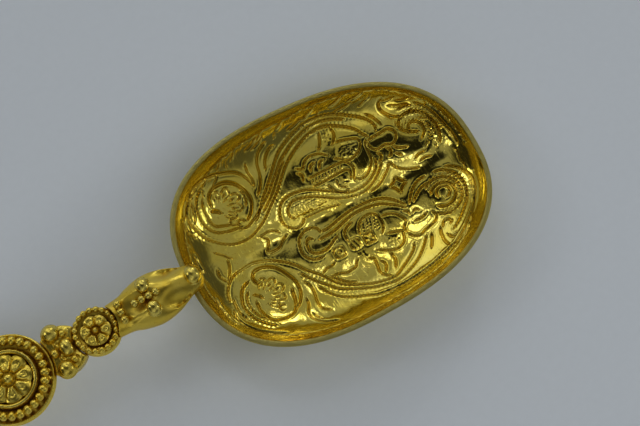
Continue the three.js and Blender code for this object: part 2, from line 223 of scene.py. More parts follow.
def make_wear_and_shade_group():
    """Gold plate that is paler where it is rubbed, scratched and specked, with painted shade in its crevices
    and hollows.
    """
    tree, given, result = new_group(
        "Worn and shaded gilt",
        [("Gilt", "NodeSocketColor", (1, 1, 1, 1)), ("Pale", "NodeSocketColor", (1, 1, 1, 1)),
         ("Shade And Speck", "NodeSocketColor", (1, 1, 1, 1)), ("Hollow", "NodeSocketFloat", 0.0),
         ("Roughness", "NodeSocketFloat", 0.15), ("Rubbing", "NodeSocketFloat", 0.5),
         ("Scratches", "NodeSocketFloat", 0.5), ("Reach", "NodeSocketFloat", 0.5 * MM)],
        [("Color", "NodeSocketColor"), ("Roughness", "NodeSocketFloat"), ("Height", "NodeSocketFloat")])
    place = tree.nodes.new("ShaderNodeTexCoord").outputs["Object"]
    clouds = add_noise(tree, place, 260.0)
    flecks = add_noise(tree, place, 2600.0, 2.0)
    stretched = add_node(tree, "ShaderNodeMapping", {
        "Vector": place, "Rotation": (0.2, 0.1, 0.7), "Scale": (9000.0, 500.0, 500.0)}).outputs[0]
    scratch = add_ramp(tree, add_noise(tree, stretched, 1.0, 1.0), 0.66, 0.74)
    crossed = add_node(tree, "ShaderNodeMapping", {
        "Vector": place, "Rotation": (0.0, 0.3, -0.6), "Scale": (7000.0, 400.0, 400.0)}).outputs[0]
    second_scratch = add_ramp(tree, add_noise(tree, crossed, 1.0, 1.0), 0.68, 0.75)
    scratch = add_math(tree, "MAXIMUM", scratch, second_scratch)
    scratch = add_math(tree, "MULTIPLY", scratch, given["Scratches"])
    rubbed = add_math(tree, "MULTIPLY", add_ramp(tree, clouds, 0.35, 0.65), given["Rubbing"])
    colour = add_mix(tree, rubbed, given["Gilt"], given["Pale"])
    # Painted shade: crevices that ambient occlusion finds, and the hollows given by the caller, take the
    # shade colour through depth.
    crevice = add_node(tree, "ShaderNodeAmbientOcclusion", {"Distance": given["Reach"]}, samples=6)
    crevice_shade = add_ramp(tree, crevice.outputs["AO"], 0.75, 0.25)
    depth = add_math(tree, "MAXIMUM", crevice_shade, given["Hollow"], clamp=True)
    # Random dark specks use the same colour.
    speck = add_ramp(tree, flecks, 0.62, 0.70)
    depth = add_math(tree, "MAXIMUM", depth, add_math(tree, "MULTIPLY", speck, 0.35))
    colour = add_mix(tree, depth, colour, given["Shade And Speck"])
    rough = add_math(tree, "MULTIPLY_ADD", flecks, 0.10, given["Roughness"])
    rough = add_math(tree, "MULTIPLY_ADD", scratch, 0.12, rough)
    rough = add_math(tree, "MULTIPLY_ADD", depth, 0.12, rough)
    height = add_math(tree, "MULTIPLY_ADD", scratch, -0.5, flecks)
    height = add_math(tree, "MULTIPLY_ADD", clouds, 2.0, height)
    tree.links.new(colour, result.inputs["Color"])
    tree.links.new(rough, result.inputs["Roughness"])
    tree.links.new(height, result.inputs["Height"])
    return tree


def make_rope_group():
    """The crisp section of an engraved line, with the punch marks that make it look roped."""
    tree, given, result = new_group(
        "Roped line",
        [("Distance", "NodeSocketFloat", 1.0), ("Along", "NodeSocketFloat", 0.0),
         ("Half Width", "NodeSocketFloat", 0.2), ("Pitch", "NodeSocketFloat", 0.4)],
        [("Mask", "NodeSocketFloat"), ("Height", "NodeSocketFloat")])
    inside = add_math(tree, "DIVIDE", given["Distance"], given["Half Width"])
    mask = add_ramp(tree, inside, 1.15, 0.25)
    turns = add_math(tree, "DIVIDE", given["Along"], given["Pitch"])
    wave = add_math(tree, "SINE", add_math(tree, "MULTIPLY", turns, 2 * pi))
    strand = add_math(tree, "MULTIPLY_ADD", wave, 0.5, 0.5)
    height = add_math(tree, "MULTIPLY", mask, add_math(tree, "MULTIPLY_ADD", strand, 0.6, -1.0))
    tree.links.new(mask, result.inputs["Mask"])
    tree.links.new(height, result.inputs["Height"])
    return tree


def make_file_group():
    """Fine marks that a file leaves across an edge."""
    tree, given, result = new_group(
        "File marks",
        [("Spacing", "NodeSocketFloat", 0.2), ("Strength", "NodeSocketFloat", 1.0)],
        [("Height", "NodeSocketFloat")])
    place = tree.nodes.new("ShaderNodeTexCoord").outputs["Object"]
    fine = add_noise(tree, place, 5200.0, 2.0)
    broad = add_noise(tree, place, 1400.0, 2.0)
    marks = add_math(tree, "MULTIPLY_ADD", fine, given["Spacing"], broad)
    tree.links.new(add_math(tree, "MULTIPLY", marks, given["Strength"]), result.inputs["Height"])
    return tree


def shader_group(name, maker):
    return bpy.data.node_groups.get(name) or maker()


def place_group(tree, name, maker, inputs):
    node = tree.nodes.new("ShaderNodeGroup")
    node.node_tree = shader_group(name, maker)
    for label, value in inputs.items():
        if isinstance(value, bpy.types.NodeSocket):
            tree.links.new(value, node.inputs[label])
        else:
            node.inputs[label].default_value = value
    return node.outputs


def new_material(name):
    material = bpy.data.materials.new(name)
    material.use_nodes = True
    shader = material.node_tree.nodes["Principled BSDF"]
    shader.inputs["Metallic"].default_value = 1.0
    return material, material.node_tree, shader


def opaque(colour):
    return (*colour, 1.0)


def gilt_material(name, rubbing, scratches, roughness=0.0, tint=(1, 1, 1)):
    """A gilt finish for the handle's pieces, with painted shade in their crevices."""
    gilt = bpy.context.scene.spoon_gilt
    material, tree, shader = new_material(name)
    wear_and_shade = place_group(tree, "Worn and shaded gilt", make_wear_and_shade_group, {
        "Gilt": opaque([a * b for a, b in zip(gilt.gilt, tint)]),
        "Pale": opaque(gilt.pale_gilt),
        "Shade And Speck": opaque(gilt.shade_and_speck_gilt),
        "Roughness": gilt.gloss_roughness + roughness,
        "Rubbing": rubbing,
        "Scratches": scratches,
        # Painted shade: how far from a crevice the occlusion shade on the handle's pieces reaches.
        "Reach": 1.1 * MM,
    })
    tree.links.new(wear_and_shade["Color"], shader.inputs["Base Color"])
    tree.links.new(wear_and_shade["Roughness"], shader.inputs["Roughness"])
    bump = add_node(tree, "ShaderNodeBump", {"Height": wear_and_shade["Height"], "Distance": 0.02 * MM})
    tree.links.new(bump.outputs["Normal"], shader.inputs["Normal"])
    return material


def bowl_material():
    """The bowl's gilt: engraved lines inside with painted shade in them and in the hollows, a filed pale rim
    and planished back.
    """
    gilt = bpy.context.scene.spoon_gilt
    cut = bpy.context.scene.spoon_engraving
    material, tree, shader = new_material("Engraved gilt")
    distance = add_node(tree, "ShaderNodeAttribute", attribute_name="line_distance").outputs["Fac"]
    along = add_node(tree, "ShaderNodeAttribute", attribute_name="line_along").outputs["Fac"]
    hollow_shade = add_node(tree, "ShaderNodeAttribute", attribute_name="hollow").outputs["Fac"]
    rim = add_node(tree, "ShaderNodeAttribute", attribute_name="rim").outputs["Fac"]
    line = place_group(tree, "Roped line", make_rope_group, {
        "Distance": distance, "Along": along,
        "Half Width": cut.line_width / MM / 2, "Pitch": cut.rope_pitch / MM})
    # Painted shade: the engraved lines and the hollow layer darken the gilt towards the shade colour.
    hollow = add_math(tree, "MULTIPLY_ADD", line["Mask"], 0.30, hollow_shade, clamp=True)
    wear_and_shade = place_group(tree, "Worn and shaded gilt", make_wear_and_shade_group, {
        "Gilt": opaque(gilt.gilt), "Pale": opaque(gilt.pale_gilt), "Shade And Speck": opaque(gilt.shade_and_speck_gilt),
        "Hollow": hollow, "Roughness": gilt.gloss_roughness - 0.075, "Rubbing": 0.45,
        "Scratches": 0.6})
    marks = place_group(tree, "File marks", make_file_group, {"Spacing": 0.6, "Strength": 1.0})
    colour = add_mix(tree, add_math(tree, "MULTIPLY", rim, 0.85), wear_and_shade["Color"], opaque(gilt.dull_gilt))
    tree.links.new(colour, shader.inputs["Base Color"])
    rough = add_math(tree, "MULTIPLY_ADD", rim, 0.28, wear_and_shade["Roughness"])
    tree.links.new(rough, shader.inputs["Roughness"])
    filed = add_math(tree, "MULTIPLY", marks["Height"], rim)
    height = add_math(tree, "MULTIPLY_ADD", line["Height"], 8.0, wear_and_shade["Height"])
    height = add_math(tree, "MULTIPLY_ADD", filed, 12.0, height)
    bump = add_node(tree, "ShaderNodeBump", {"Height": height, "Distance": 0.012 * MM})
    tree.links.new(bump.outputs["Normal"], shader.inputs["Normal"])
    return material


# ---- Piece helpers ----
def finish_piece(name, bm, place, material, replaced):
    """Makes the object, puts its place into its mesh and ties it to the frame."""
    bmesh.ops.transform(bm, matrix=place, verts=bm.verts)
    bmesh.ops.recalc_face_normals(bm, faces=bm.faces)
    mesh = bpy.data.meshes.new(name)
    for face in bm.faces:
        face.smooth = True
    bm.to_mesh(mesh)
    bm.free()
    mesh.materials.append(material)
    piece = bpy.data.objects.new(name, mesh)
    bpy.context.scene.collection.objects.link(piece)
    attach(piece, "root")
    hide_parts(*replaced)
    return piece


def smooth_path(points, spacing=0.12):
    """A Catmull-Rom curve through points in a plane, as an array of points about a spacing apart."""
    points = np.array(points, float)
    if len(points) == 2:
        steps = max(int(np.hypot(*(points[1] - points[0])) / spacing), 1)
        return points[0] + (points[1] - points[0]) * np.linspace(0, 1, steps + 1)[:, None]
    ends = np.vstack([2 * points[0] - points[1], points, 2 * points[-1] - points[-2]])
    path = []
    for i in range(1, len(ends) - 2):
        a, b, c, d = ends[i - 1:i + 3]
        steps = max(int(np.hypot(*(c - b)) / spacing), 1)
        t = (np.arange(steps) / steps)[:, None]
        path.append(0.5 * (2 * b + (c - a) * t + (2 * a - 5 * b + 4 * c - d) * t**2
                           + (3 * b - a - 3 * c + d) * t**3))
    path.append(points[-1:])
    return np.vstack(path)


def smooth_step(low, high, value):
    t = np.clip((value - low) / (high - low), 0, 1)
    return t * t * (3 - 2 * t)


def turned_bmesh(outline, steps):
    """Spins an outline of [radius, height] pairs about Z; it starts and ends on the axis."""
    bm = bmesh.new()
    verts = [bm.verts.new((radius, 0, height)) for radius, height in outline]
    edges = [bm.edges.new(pair) for pair in zip(verts, verts[1:])]
    bmesh.ops.spin(bm, geom=verts + edges, cent=(0, 0, 0), axis=(0, 0, 1), angle=2 * pi,
                   steps=steps, use_merge=True, use_duplicate=False)
    bmesh.ops.remove_doubles(bm, verts=bm.verts, dist=1e-5)
    return bm


def split_wide_faces(bm):
    """Cuts every face with more than four corners into triangles."""
    bmesh.ops.triangulate(bm, faces=[face for face in bm.faces if len(face.verts) > 4])


def merge_bmesh(bm, other):
    """Adds another bmesh to the first and frees it."""
    passing = bpy.data.meshes.new("passing")
    other.to_mesh(passing)
    other.free()
    bm.from_mesh(passing)
    bpy.data.meshes.remove(passing)


# ---- The engraving, in millimetres on the plane of the rim ----
class Engraving:
    """Cuts lines, dots and punches into a sheet of points."""

    # Where the line between two petals starts and ends, as shares of a petal's reach.
    PETAL_ROOT = 0.42
    PETAL_VALLEY = 0.84
    # How far out of a line its cut may be felt, and how deep a punched field is sunk.
    LINE_MARGIN = 1.2
    PUNCH_DEPTH = 0.2

    def __init__(self, x, y):
        settings = bpy.context.scene.spoon_engraving
        self.x, self.y = x, y
        self.width = settings.line_width / MM
        self.line_depth = settings.line_depth / MM
        self.pitch = settings.rope_pitch / MM
        self.depth = np.zeros(len(x))
        self.lip = np.zeros(len(x))
        self.distance = np.full(len(x), 2.0)
        self.along = np.zeros(len(x))
        self.hollow = np.zeros(len(x))

    def near(self, low, high, margin):
        inside = (self.x > low[0] - margin) & (self.x < high[0] + margin)
        return np.flatnonzero(inside & (self.y > low[1] - margin) & (self.y < high[1] + margin))

    def line(self, points, width=1.0, depth=1.0, roped=True):
        """One groove along a curve, thinning to nothing at both ends."""
        path = smooth_path(points)
        start, run = path[:-1], np.diff(path, axis=0)
        length = np.hypot(run[:, 0], run[:, 1])
        before = np.concatenate([[0], np.cumsum(length)[:-1]])
        total = length.sum()
        chosen = self.near(path.min(0), path.max(0), self.LINE_MARGIN)
        if not len(chosen):
            return
        best = np.full(len(chosen), 9.0)
        place = np.zeros(len(chosen))
        px, py = self.x[chosen], self.y[chosen]
        for (sx, sy), (rx, ry), size, behind in zip(start, run, length, before):
            t = np.clip(((px - sx) * rx + (py - sy) * ry) / size**2, 0, 1)
            gap = np.hypot(px - sx - t * rx, py - sy - t * ry)
            closer = gap < best
            best[closer] = gap[closer]
            place[closer] = behind + t[closer] * size
        swell = np.clip(np.minimum(place, total - place) / 0.7 + 0.35, 0, 1)
        half = self.width * width / 2 * swell
        groove = self.line_depth * depth * swell * (1 - smooth_step(0.0, 1.0, best / half))
        burr = 0.15 * self.line_depth * depth * np.exp(-((best - half * 1.15) / 0.16)**2)
        if roped:
            strand = np.sin(2 * pi * place / self.pitch)
            groove *= 1 + 0.12 * strand
            burr *= 1 - 0.45 * strand
        self.depth[chosen] = np.maximum(self.depth[chosen], groove)
        self.lip[chosen] = np.maximum(self.lip[chosen], burr)
        scaled = best / (width * np.maximum(swell, 0.3))
        mine = scaled < self.distance[chosen]
        nearer = chosen[mine]
        self.distance[nearer] = scaled[mine]
        self.along[nearer] = place[mine] if roped else 0.0

    def lines(self, several, **style):
        for points in several:
            self.line(points, **style)

    def palmette(self, base, start, end, reaches):
        """A fan of round-tipped petals from a base, between two turns in degrees; one reach a petal."""
        step = (end - start) / len(reaches)

        def at(turn, reach):
            return base[0] + reach * cos(radians(turn)), base[1] + reach * sin(radians(turn))
        for i, reach in enumerate(reaches):
            side, middle, next_side = start + step * i, start + step * (i + 0.5), start + step * (i + 1)
            first_valley = self.PETAL_VALLEY * min(reach, reaches[max(i - 1, 0)])
            valley = self.PETAL_VALLEY * min(reach, reaches[min(i + 1, len(reaches) - 1)])
            tip = [
                at(side + 0.04 * step, first_valley),
                at(side + 0.22 * step, reach * 0.96),
                at(middle, reach * 1.03),
                at(next_side - 0.22 * step, reach * 0.96),
                at(next_side - 0.04 * step, valley),
            ]
            between = [at(next_side, reach * self.PETAL_ROOT), at(next_side, valley)]
            vein = [at(middle, reach * 0.58), at(middle, reach * 0.84)]
            self.line(tip, width=0.8, depth=0.7, roped=False)
            self.line(between, width=0.72, depth=0.55, roped=False)
            self.line(vein, width=1.0, depth=0.9, roped=False)
        first_side = [at(start, reaches[0] * self.PETAL_ROOT), at(start, reaches[0] * self.PETAL_VALLEY)]
        self.line(first_side, width=0.72, depth=0.55, roped=False)

    def dots(self, outline, pitch=0.42, depth=0.13, radius=0.2):
        """Round punch marks, set close together inside an outline."""
        corners = smooth_path([*outline, outline[0]], 0.5)
        low, high = corners.min(0), corners.max(0)
        for row in range(int((high[1] - low[1]) / pitch) + 1):
            for column in range(int((high[0] - low[0]) / pitch) + 1):
                jitter = noise.random_unit_vector() * 0.09
                cx = low[0] + (column + 0.5 * (row % 2)) * pitch + jitter.x
                cy = low[1] + row * pitch + jitter.y
                if not inside_outline(cx, cy, corners):
                    continue
                chosen = self.near((cx, cy), (cx, cy), 0.5)
                reach = np.hypot(self.x[chosen] - cx, self.y[chosen] - cy) / radius
                self.depth[chosen] = np.maximum(self.depth[chosen], depth * np.exp(-reach**2))

    def punch(self, cx, cy, width, height, device, plumpness=4.0):
        """A small sunk field that holds a plain raised device."""
        chosen = self.near((cx, cy), (cx, cy), 2.0)
        u, v = (self.x[chosen] - cx) / (width / 2), (self.y[chosen] - cy) / (height / 2)
        edge = (np.abs(u)**plumpness + np.abs(v)**plumpness)**(1 / plumpness)
        field = 1 - smooth_step(0.82, 1.02, edge)
        raised = device(u, v)
        sunk = self.PUNCH_DEPTH * field * (1 - 0.75 * raised)
        self.depth[chosen] = np.maximum(self.depth[chosen] * (1 - field), sunk)
        # Painted shade: the sunk field, but not its raised device, is darkened through the hollow layer.
        self.hollow[chosen] = np.maximum(self.hollow[chosen], 0.5 * field * (1 - raised))
        frame_line = np.exp(-((edge - 1.12) / 0.1)**2)
        self.lip[chosen] = np.maximum(self.lip[chosen], 0.06 * frame_line)


def inside_outline(x, y, corners):
    ax, ay = corners[:-1, 0], corners[:-1, 1]
    bx, by = corners[1:, 0], corners[1:, 1]
    crossing = (ay > y) != (by > y)
    reach = ax + (y - ay) / np.where(by == ay, 1e-9, by - ay) * (bx - ax)
    return np.count_nonzero(crossing & (x < reach)) % 2 == 1


def arc(cx, cy, radius, start, end, steps=8, flatness=1.0):
    """Points on an arc; the turns are in degrees."""
    turns = [radians(start + (end - start) * i / steps) for i in range(steps + 1)]
    return [(cx + radius * cos(turn), cy + flatness * radius * sin(turn)) for turn in turns]


def engrave_upper_scroll(cut):
    """The upper lobe: a palmette in rings, whose stems swing round to a leaf loop."""
    cut.lines([
        [(-17.3, 11.0), (-18.2, 9.7), (-18.4, 8.3), (-18.0, 7.0), (-17.3, 5.7), (-16.3, 4.7), (-15.0, 3.8),
         (-13.7, 3.3), (-12.3, 3.2), (-11.0, 3.4), (-9.7, 4.0), (-8.3, 4.8), (-6.7, 6.1), (-5.3, 7.2),
         (-4.2, 8.2), (-3.2, 9.3), (-2.0, 10.4), (-1.0, 11.1), (0.3, 11.8), (2.0, 12.5), (3.3, 12.8),
         (5.3, 12.8), (6.8, 12.3), (8.3, 11.5), (9.6, 10.5), (10.3, 9.4), (10.9, 8.8)],
        [(-14.8, 12.1), (-15.7, 11.3), (-16.3, 10.5), (-16.7, 9.3), (-16.7, 8.0), (-16.4, 7.0),
         (-15.8, 6.2), (-15.0, 5.7), (-13.7, 5.4), (-12.4, 5.3), (-11.4, 4.9), (-10.5, 5.1), (-9.0, 5.9),
         (-7.5, 6.9), (-6.0, 8.0), (-5.0, 8.9), (-3.6, 10.2), (-2.3, 11.4), (-1.0, 12.1), (0.0, 12.6),
         (1.5, 13.1), (3.3, 13.5), (5.2, 13.5), (7.0, 13.1), (8.8, 12.3)],
        [(-9.6, 5.0), (-8.3, 6.3), (-7.2, 7.6), (-6.0, 8.7), (-5.0, 9.7), (-4.0, 10.7), (-3.0, 11.7),
         (-2.0, 12.5), (-1.0, 13.0), (0.0, 13.4), (1.2, 13.8), (2.8, 14.1), (4.7, 14.1), (6.5, 13.8),
         (8.3, 13.1), (9.7, 12.3), (10.8, 11.6), (11.8, 10.7), (12.3, 9.7), (12.1, 8.8)],
    ])
    cut.lines([
        [(-8.0, 5.8), (-6.4, 7.0), (-5.1, 8.1), (-4.0, 9.2), (-2.9, 10.3), (-1.8, 11.3)],
        [(-7.6, 8.3), (-6.6, 9.5), (-5.9, 10.9), (-5.6, 12.3), (-5.0, 13.3), (-4.2, 13.9), (-3.1, 14.3)],
        [(-4.9, 11.0), (-4.3, 12.3), (-3.2, 13.3), (-2.1, 13.5)],
        [(11.7, 11.6), (12.6, 10.6), (13.3, 9.2)],
        [(-15.1, 10.9), (-15.6, 9.9), (-15.7, 8.7), (-15.5, 7.4), (-15.0, 6.7), (-14.0, 6.4), (-12.9, 6.1)],
        [(-17.3, 11.0), (-16.3, 12.0), (-14.7, 12.8), (-12.6, 13.1), (-10.7, 12.9), (-9.2, 12.5),
         (-8.3, 11.8), (-7.7, 10.8), (-7.4, 9.7)],
        [(-7.4, 9.8), (-7.2, 10.9), (-7.4, 11.9), (-7.2, 13.0)],
    ], roped=False)
    cut.line([(-14.4, 9.3), (-14.3, 10.5), (-13.6, 11.3), (-12.6, 11.75), (-11.3, 11.8), (-10.4, 11.5),
              (-9.6, 10.9), (-9.0, 10.0), (-8.75, 9.0), (-8.8, 8.1), (-9.2, 7.2), (-9.8, 6.4), (-10.7, 5.7)],
             width=1.35, depth=1.2, roped=False)
    cut.line([(-9.6, 10.3), (-9.3, 9.6), (-9.4, 8.6), (-9.9, 7.6)])
    cut.palmette((-13.9, 8.9), 78, -58, [2.4, 3.3, 3.8, 3.6, 2.9])
    cut.line([(-14.9, 8.9), (-14.1, 8.7), (-13.3, 8.1)], width=1.5, depth=1.2, roped=False)
    cut.dots(arc(-12.4, 6.4, 0.5, 0, 360), 0.3, 0.08, 0.2)
    cut.line(arc(-12.4, 6.4, 0.55, 20, 340), width=0.8)
    cut.line(arc(-11.5, 5.75, 0.5, -20, 260), width=0.8)


def engrave_lower_scroll(cut):
    """The lower lobe: the same growth turned over, with its own palmette."""
    cut.lines([
        [(-18.6, -4.5), (-18.3, -3.2), (-17.5, -1.9), (-16.3, -0.95), (-14.7, -0.6), (-13.0, -0.4),
         (-11.3, -0.8), (-9.8, -1.5), (-8.5, -2.4), (-7.5, -3.4), (-6.7, -4.5), (-5.8, -5.5), (-5.0, -6.4),
         (-4.4, -7.3), (-3.8, -8.2), (-3.0, -9.0), (-2.0, -9.7), (-1.0, -10.2), (0.3, -10.8), (1.8, -11.3),
         (4.0, -11.6), (5.7, -10.9), (7.0, -10.2), (8.3, -9.3), (9.0, -8.3)],
        [(-7.6, -4.6), (-7.0, -5.6), (-6.4, -6.4), (-5.7, -7.3), (-4.8, -8.3), (-4.0, -9.2), (-3.0, -9.9),
         (-1.0, -10.9), (0.8, -11.7), (2.3, -12.1), (4.2, -12.3), (6.5, -11.7), (8.3, -10.8), (9.9, -9.5),
         (11.1, -8.2)],
        [(-6.3, -7.5), (-5.8, -8.5), (-5.2, -9.5), (-4.2, -10.5), (-3.0, -11.3), (-1.0, -12.2),
         (0.6, -13.0), (3.3, -13.3), (6.5, -13.2), (9.7, -12.7), (12.3, -12.0), (13.5, -11.6)],
        [(-4.1, -7.0), (-3.3, -7.9), (-2.3, -9.0), (-1.0, -9.7)],
    ])
    cut.lines([
        [(-18.7, -5.8), (-18.9, -6.9), (-18.5, -8.3), (-17.6, -9.6), (-16.5, -10.6), (-15.2, -11.5),
         (-13.8, -12.2)],
        [(-20.3, -3.2), (-20.4, -4.5), (-20.2, -5.8), (-19.9, -7.0), (-19.3, -8.3)],
        [(-18.0, -4.0), (-18.2, -5.3), (-18.1, -6.6), (-17.5, -8.0)],
        [(-7.7, -6.0), (-7.2, -7.0), (-7.2, -8.2), (-7.5, -9.5), (-7.5, -10.7), (-7.0, -11.3),
         (-6.3, -11.8)],
        [(-8.6, -8.3), (-8.8, -9.5), (-9.5, -10.7), (-9.3, -11.7), (-8.7, -12.5), (-7.7, -13.3),
         (-6.2, -13.9)],
        [(-9.0, -10.8), (-8.7, -11.7), (-8.2, -12.5)],
    ], roped=False)
    cut.line([(-13.2, -3.3), (-13.8, -3.2), (-14.0, -2.5), (-13.7, -1.8), (-13.0, -1.45), (-11.7, -1.6),
              (-10.5, -2.2), (-9.7, -3.2), (-9.2, -4.2), (-8.8, -5.2), (-8.7, -6.2), (-8.9, -7.3),
              (-9.6, -8.4), (-10.7, -9.3)], width=1.25, depth=1.2, roped=False)
    cut.line([(-14.6, -2.4), (-15.8, -3.0), (-16.5, -3.8), (-16.9, -4.7), (-17.2, -5.8), (-17.0, -7.2),
              (-16.5, -8.3), (-15.8, -9.2), (-15.0, -10.0), (-14.2, -10.4)], width=1.3, depth=1.2)
    cut.line([(-15.4, -3.8), (-16.1, -4.6), (-16.4, -5.6), (-16.3, -6.9), (-15.8, -8.0), (-15.1, -9.0)])
    cut.line([(-15.1, -5.6), (-15.3, -6.8), (-15.2, -7.8), (-14.8, -8.8), (-14.2, -9.5), (-13.0, -9.85),
              (-11.7, -9.8), (-10.7, -9.2), (-10.2, -8.2), (-9.9, -7.0), (-9.7, -6.0)],
             width=1.3, depth=1.2, roped=False)
    cut.palmette((-14.4, -5.4), 70, -64, [2.9, 3.4, 3.7, 3.5, 2.9])
    cut.line([(-15.2, -4.6), (-14.5, -5.0), (-14.0, -5.8)], width=1.4, depth=1.1, roped=False)
    cut.line(arc(-12.2, -8.2, 0.45, 0, 300), width=0.8)


def engrave_leaves(cut):
    """The club leaf and the curl on the ridge, and the buds inside the two loops."""
    cut.lines([
        [(-3.1, 2.4), (-3.8, 1.6), (-4.8, 1.3), (-5.7, 1.8), (-6.2, 2.7), (-6.2, 3.8), (-5.7, 5.1),
         (-4.8, 6.0), (-3.4, 6.4), (-1.5, 6.2), (0.0, 5.6), (2.0, 4.3), (3.6, 3.2), (5.0, 2.6), (6.7, 2.6),
         (8.3, 3.2), (9.7, 4.3), (10.3, 5.6)],
        [(-4.2, 2.7), (-4.8, 3.4), (-4.6, 4.6), (-3.4, 5.4), (-1.6, 5.1), (0.2, 4.3), (2.0, 3.0), (3.3, 2.3),
         (5.0, 1.75), (6.7, 1.75), (8.3, 2.5), (9.7, 3.5), (10.9, 4.6)],
        [(-3.4, 2.2), (-1.5, 2.2), (0.5, 2.0), (2.4, 1.5)],
        [(7.0, 1.2), (8.6, 1.5), (10.0, 2.4), (11.2, 3.4), (11.7, 3.9), (12.3, 2.6), (13.3, 1.7),
         (15.0, 0.9)],
        [(-2.2, -1.0), (-2.3, -0.2), (-3.0, 0.3), (-4.2, 0.35), (-5.3, -0.2), (-5.8, -1.2), (-5.9, -2.3),
         (-5.4, -3.3), (-4.5, -3.9), (-3.2, -4.0)],
        [(-3.4, -1.3), (-4.1, -0.8), (-4.7, -1.3), (-4.8, -2.3), (-4.3, -3.0), (-3.3, -3.3), (-2.2, -3.2),
         (-1.0, -2.6), (0.0, -2.2)],
        [(-3.0, -1.6), (-1.0, -1.5), (0.3, -1.3), (1.8, -0.9), (3.3, -0.6), (4.8, -0.55), (6.3, -0.75),
         (7.7, -1.1), (8.8, -1.7), (9.7, -2.3), (10.7, -3.2)],
        [(-2.2, -0.7), (-1.0, -0.75), (0.3, -0.5), (1.7, -0.2), (3.3, 0.05), (5.7, 0.05), (7.3, -0.2),
         (8.7, -0.75), (9.8, -1.6), (10.8, -2.8)],
        [(11.2, -2.9), (12.0, -1.9), (12.9, -1.05), (13.9, -0.6), (15.2, -0.5)],
        [(11.9, -2.9), (12.8, -2.2), (13.8, -1.7), (15.2, -1.5)],
    ])
    cut.dots([(-4.6, 3.6), (-4.2, 5.0), (-2.8, 5.2), (-0.6, 4.5), (1.0, 3.4), (-0.5, 2.8), (-2.6, 3.0),
              (-3.8, 2.9)])
    # The buds of the upper loop.
    cut.lines([
        [(10.5, 8.7), (9.95, 8.0), (9.8, 6.8), (9.7, 5.7), (9.0, 4.7), (8.0, 3.9), (7.0, 3.75), (6.3, 4.3)],
        [(0.1, 7.3), (2.5, 7.35), (5.7, 7.3), (6.5, 6.7), (6.8, 5.8), (6.3, 4.7), (6.0, 3.8)],
        [(0.1, 5.95), (2.5, 5.95), (5.6, 6.05), (6.1, 5.3), (5.6, 4.3)],
        [(-0.9, 9.5), (0.1, 9.0), (0.8, 9.8), (2.0, 10.1), (3.4, 9.8), (4.4, 9.0)],
        [(6.0, 10.2), (7.0, 10.1), (8.3, 9.7), (9.2, 9.3), (9.4, 8.6), (9.0, 8.0), (8.3, 7.4), (7.3, 7.1),
         (6.4, 7.2), (5.7, 7.9), (4.8, 8.3)],
        [(2.2, 5.3), (2.7, 4.2), (3.8, 3.2), (4.9, 3.2)],
        [(3.7, 5.3), (3.8, 4.2), (4.8, 3.6)],
    ], width=0.85, roped=False)
    cut.lines([
        [(1.0, 8.0), (1.3, 8.8), (2.3, 9.1)],
        [(2.2, 7.8), (2.8, 8.7), (3.6, 8.8)],
        [(-1.0, 8.8), (-0.4, 8.2), (-0.7, 7.2)],
        [(4.6, 12.4), (4.0, 11.0), (3.3, 10.2)],
        [(6.3, 12.3), (6.5, 11.4), (6.1, 10.6), (5.5, 10.1)],
    ], width=1.1, roped=False)
    for rib in range(10):
        x = 0.4 + 0.52 * rib
        cut.line([(x, 6.3), (x + 0.2, 7.0)], width=0.65, depth=0.6, roped=False)
    cut.dots([(5.2, 8.5), (6.4, 9.6), (8.4, 9.2), (8.9, 8.5), (7.6, 7.6), (6.2, 7.7)], 0.36)
    cut.dots([(4.7, 11.8), (5.6, 11.9), (5.9, 11.0), (5.2, 10.4), (4.6, 10.9)], 0.34)
    cut.dots([(4.0, 5.1), (5.0, 5.2), (4.8, 3.9), (4.2, 3.8)], 0.34)
    # The buds of the lower loop.
    cut.lines([
        [(2.8, -3.7), (3.0, -2.7), (3.8, -1.8), (5.2, -1.5), (6.2, -2.0), (6.4, -3.0), (6.3, -4.1),
         (5.6, -5.0)],
        [(0.8, -3.7), (0.8, -2.5), (1.5, -1.8), (2.7, -1.35)],
        [(6.7, -2.6), (7.7, -2.7), (8.7, -3.2), (9.4, -4.2), (9.7, -5.1)],
        [(6.2, -5.2), (7.3, -5.5), (8.3, -6.0), (8.2, -6.8), (7.7, -7.6), (6.7, -8.0), (5.7, -7.8),
         (4.7, -7.3), (3.7, -6.7)],
        [(-4.9, -6.3), (-3.8, -5.8), (-3.0, -5.8), (-2.2, -5.4)],
        [(-3.8, -7.2), (-2.7, -7.3), (-1.7, -7.7), (-0.9, -7.7), (0.0, -7.5), (0.4, -6.9), (1.0, -6.6)],
    ], width=0.9, roped=False)
    cut.lines([
        [(1.9, -7.2), (2.8, -7.7), (2.7, -8.8), (2.5, -10.0), (3.0, -10.8), (3.8, -11.3)],
        [(5.2, -7.8), (5.4, -9.2), (4.7, -10.6)],
        [(3.4, -8.3), (3.8, -9.4), (3.1, -10.5)],
        [(11.8, -8.3), (11.2, -9.5), (10.4, -10.6)],
    ], width=1.1, roped=False)
    for row in range(5):
        for column in range(5):
            x, y = 3.4 + 0.55 * column + 0.14 * row, -3.6 + 0.42 * row - 0.05 * column
            cut.line([(x - 0.18, y), (x, y + 0.17), (x + 0.18, y)], width=0.6, depth=0.8, roped=False)
    cut.dots([(0.9, -6.2), (1.4, -7.2), (2.2, -7.0), (2.0, -6.1)], 0.34)
    cut.dots([(5.6, -6.0), (7.4, -6.3), (7.4, -7.1), (6.0, -7.2)], 0.5)


# Hatched bands between the rings of the tip's scrolls: centre, inner and outer reach, first turn in
# degrees, number of strokes.
HATCHED_BANDS = [
    ((15.95, -4.25), 2.0, 2.42, 135, 20),
    ((16.1, -4.3), 2.8, 3.2, 110, 20),
    ((16.5, 5.3), 3.15, 3.7, 120, 14),
    ((16.4, 5.4), 2.1, 2.6, 110, 14),
]


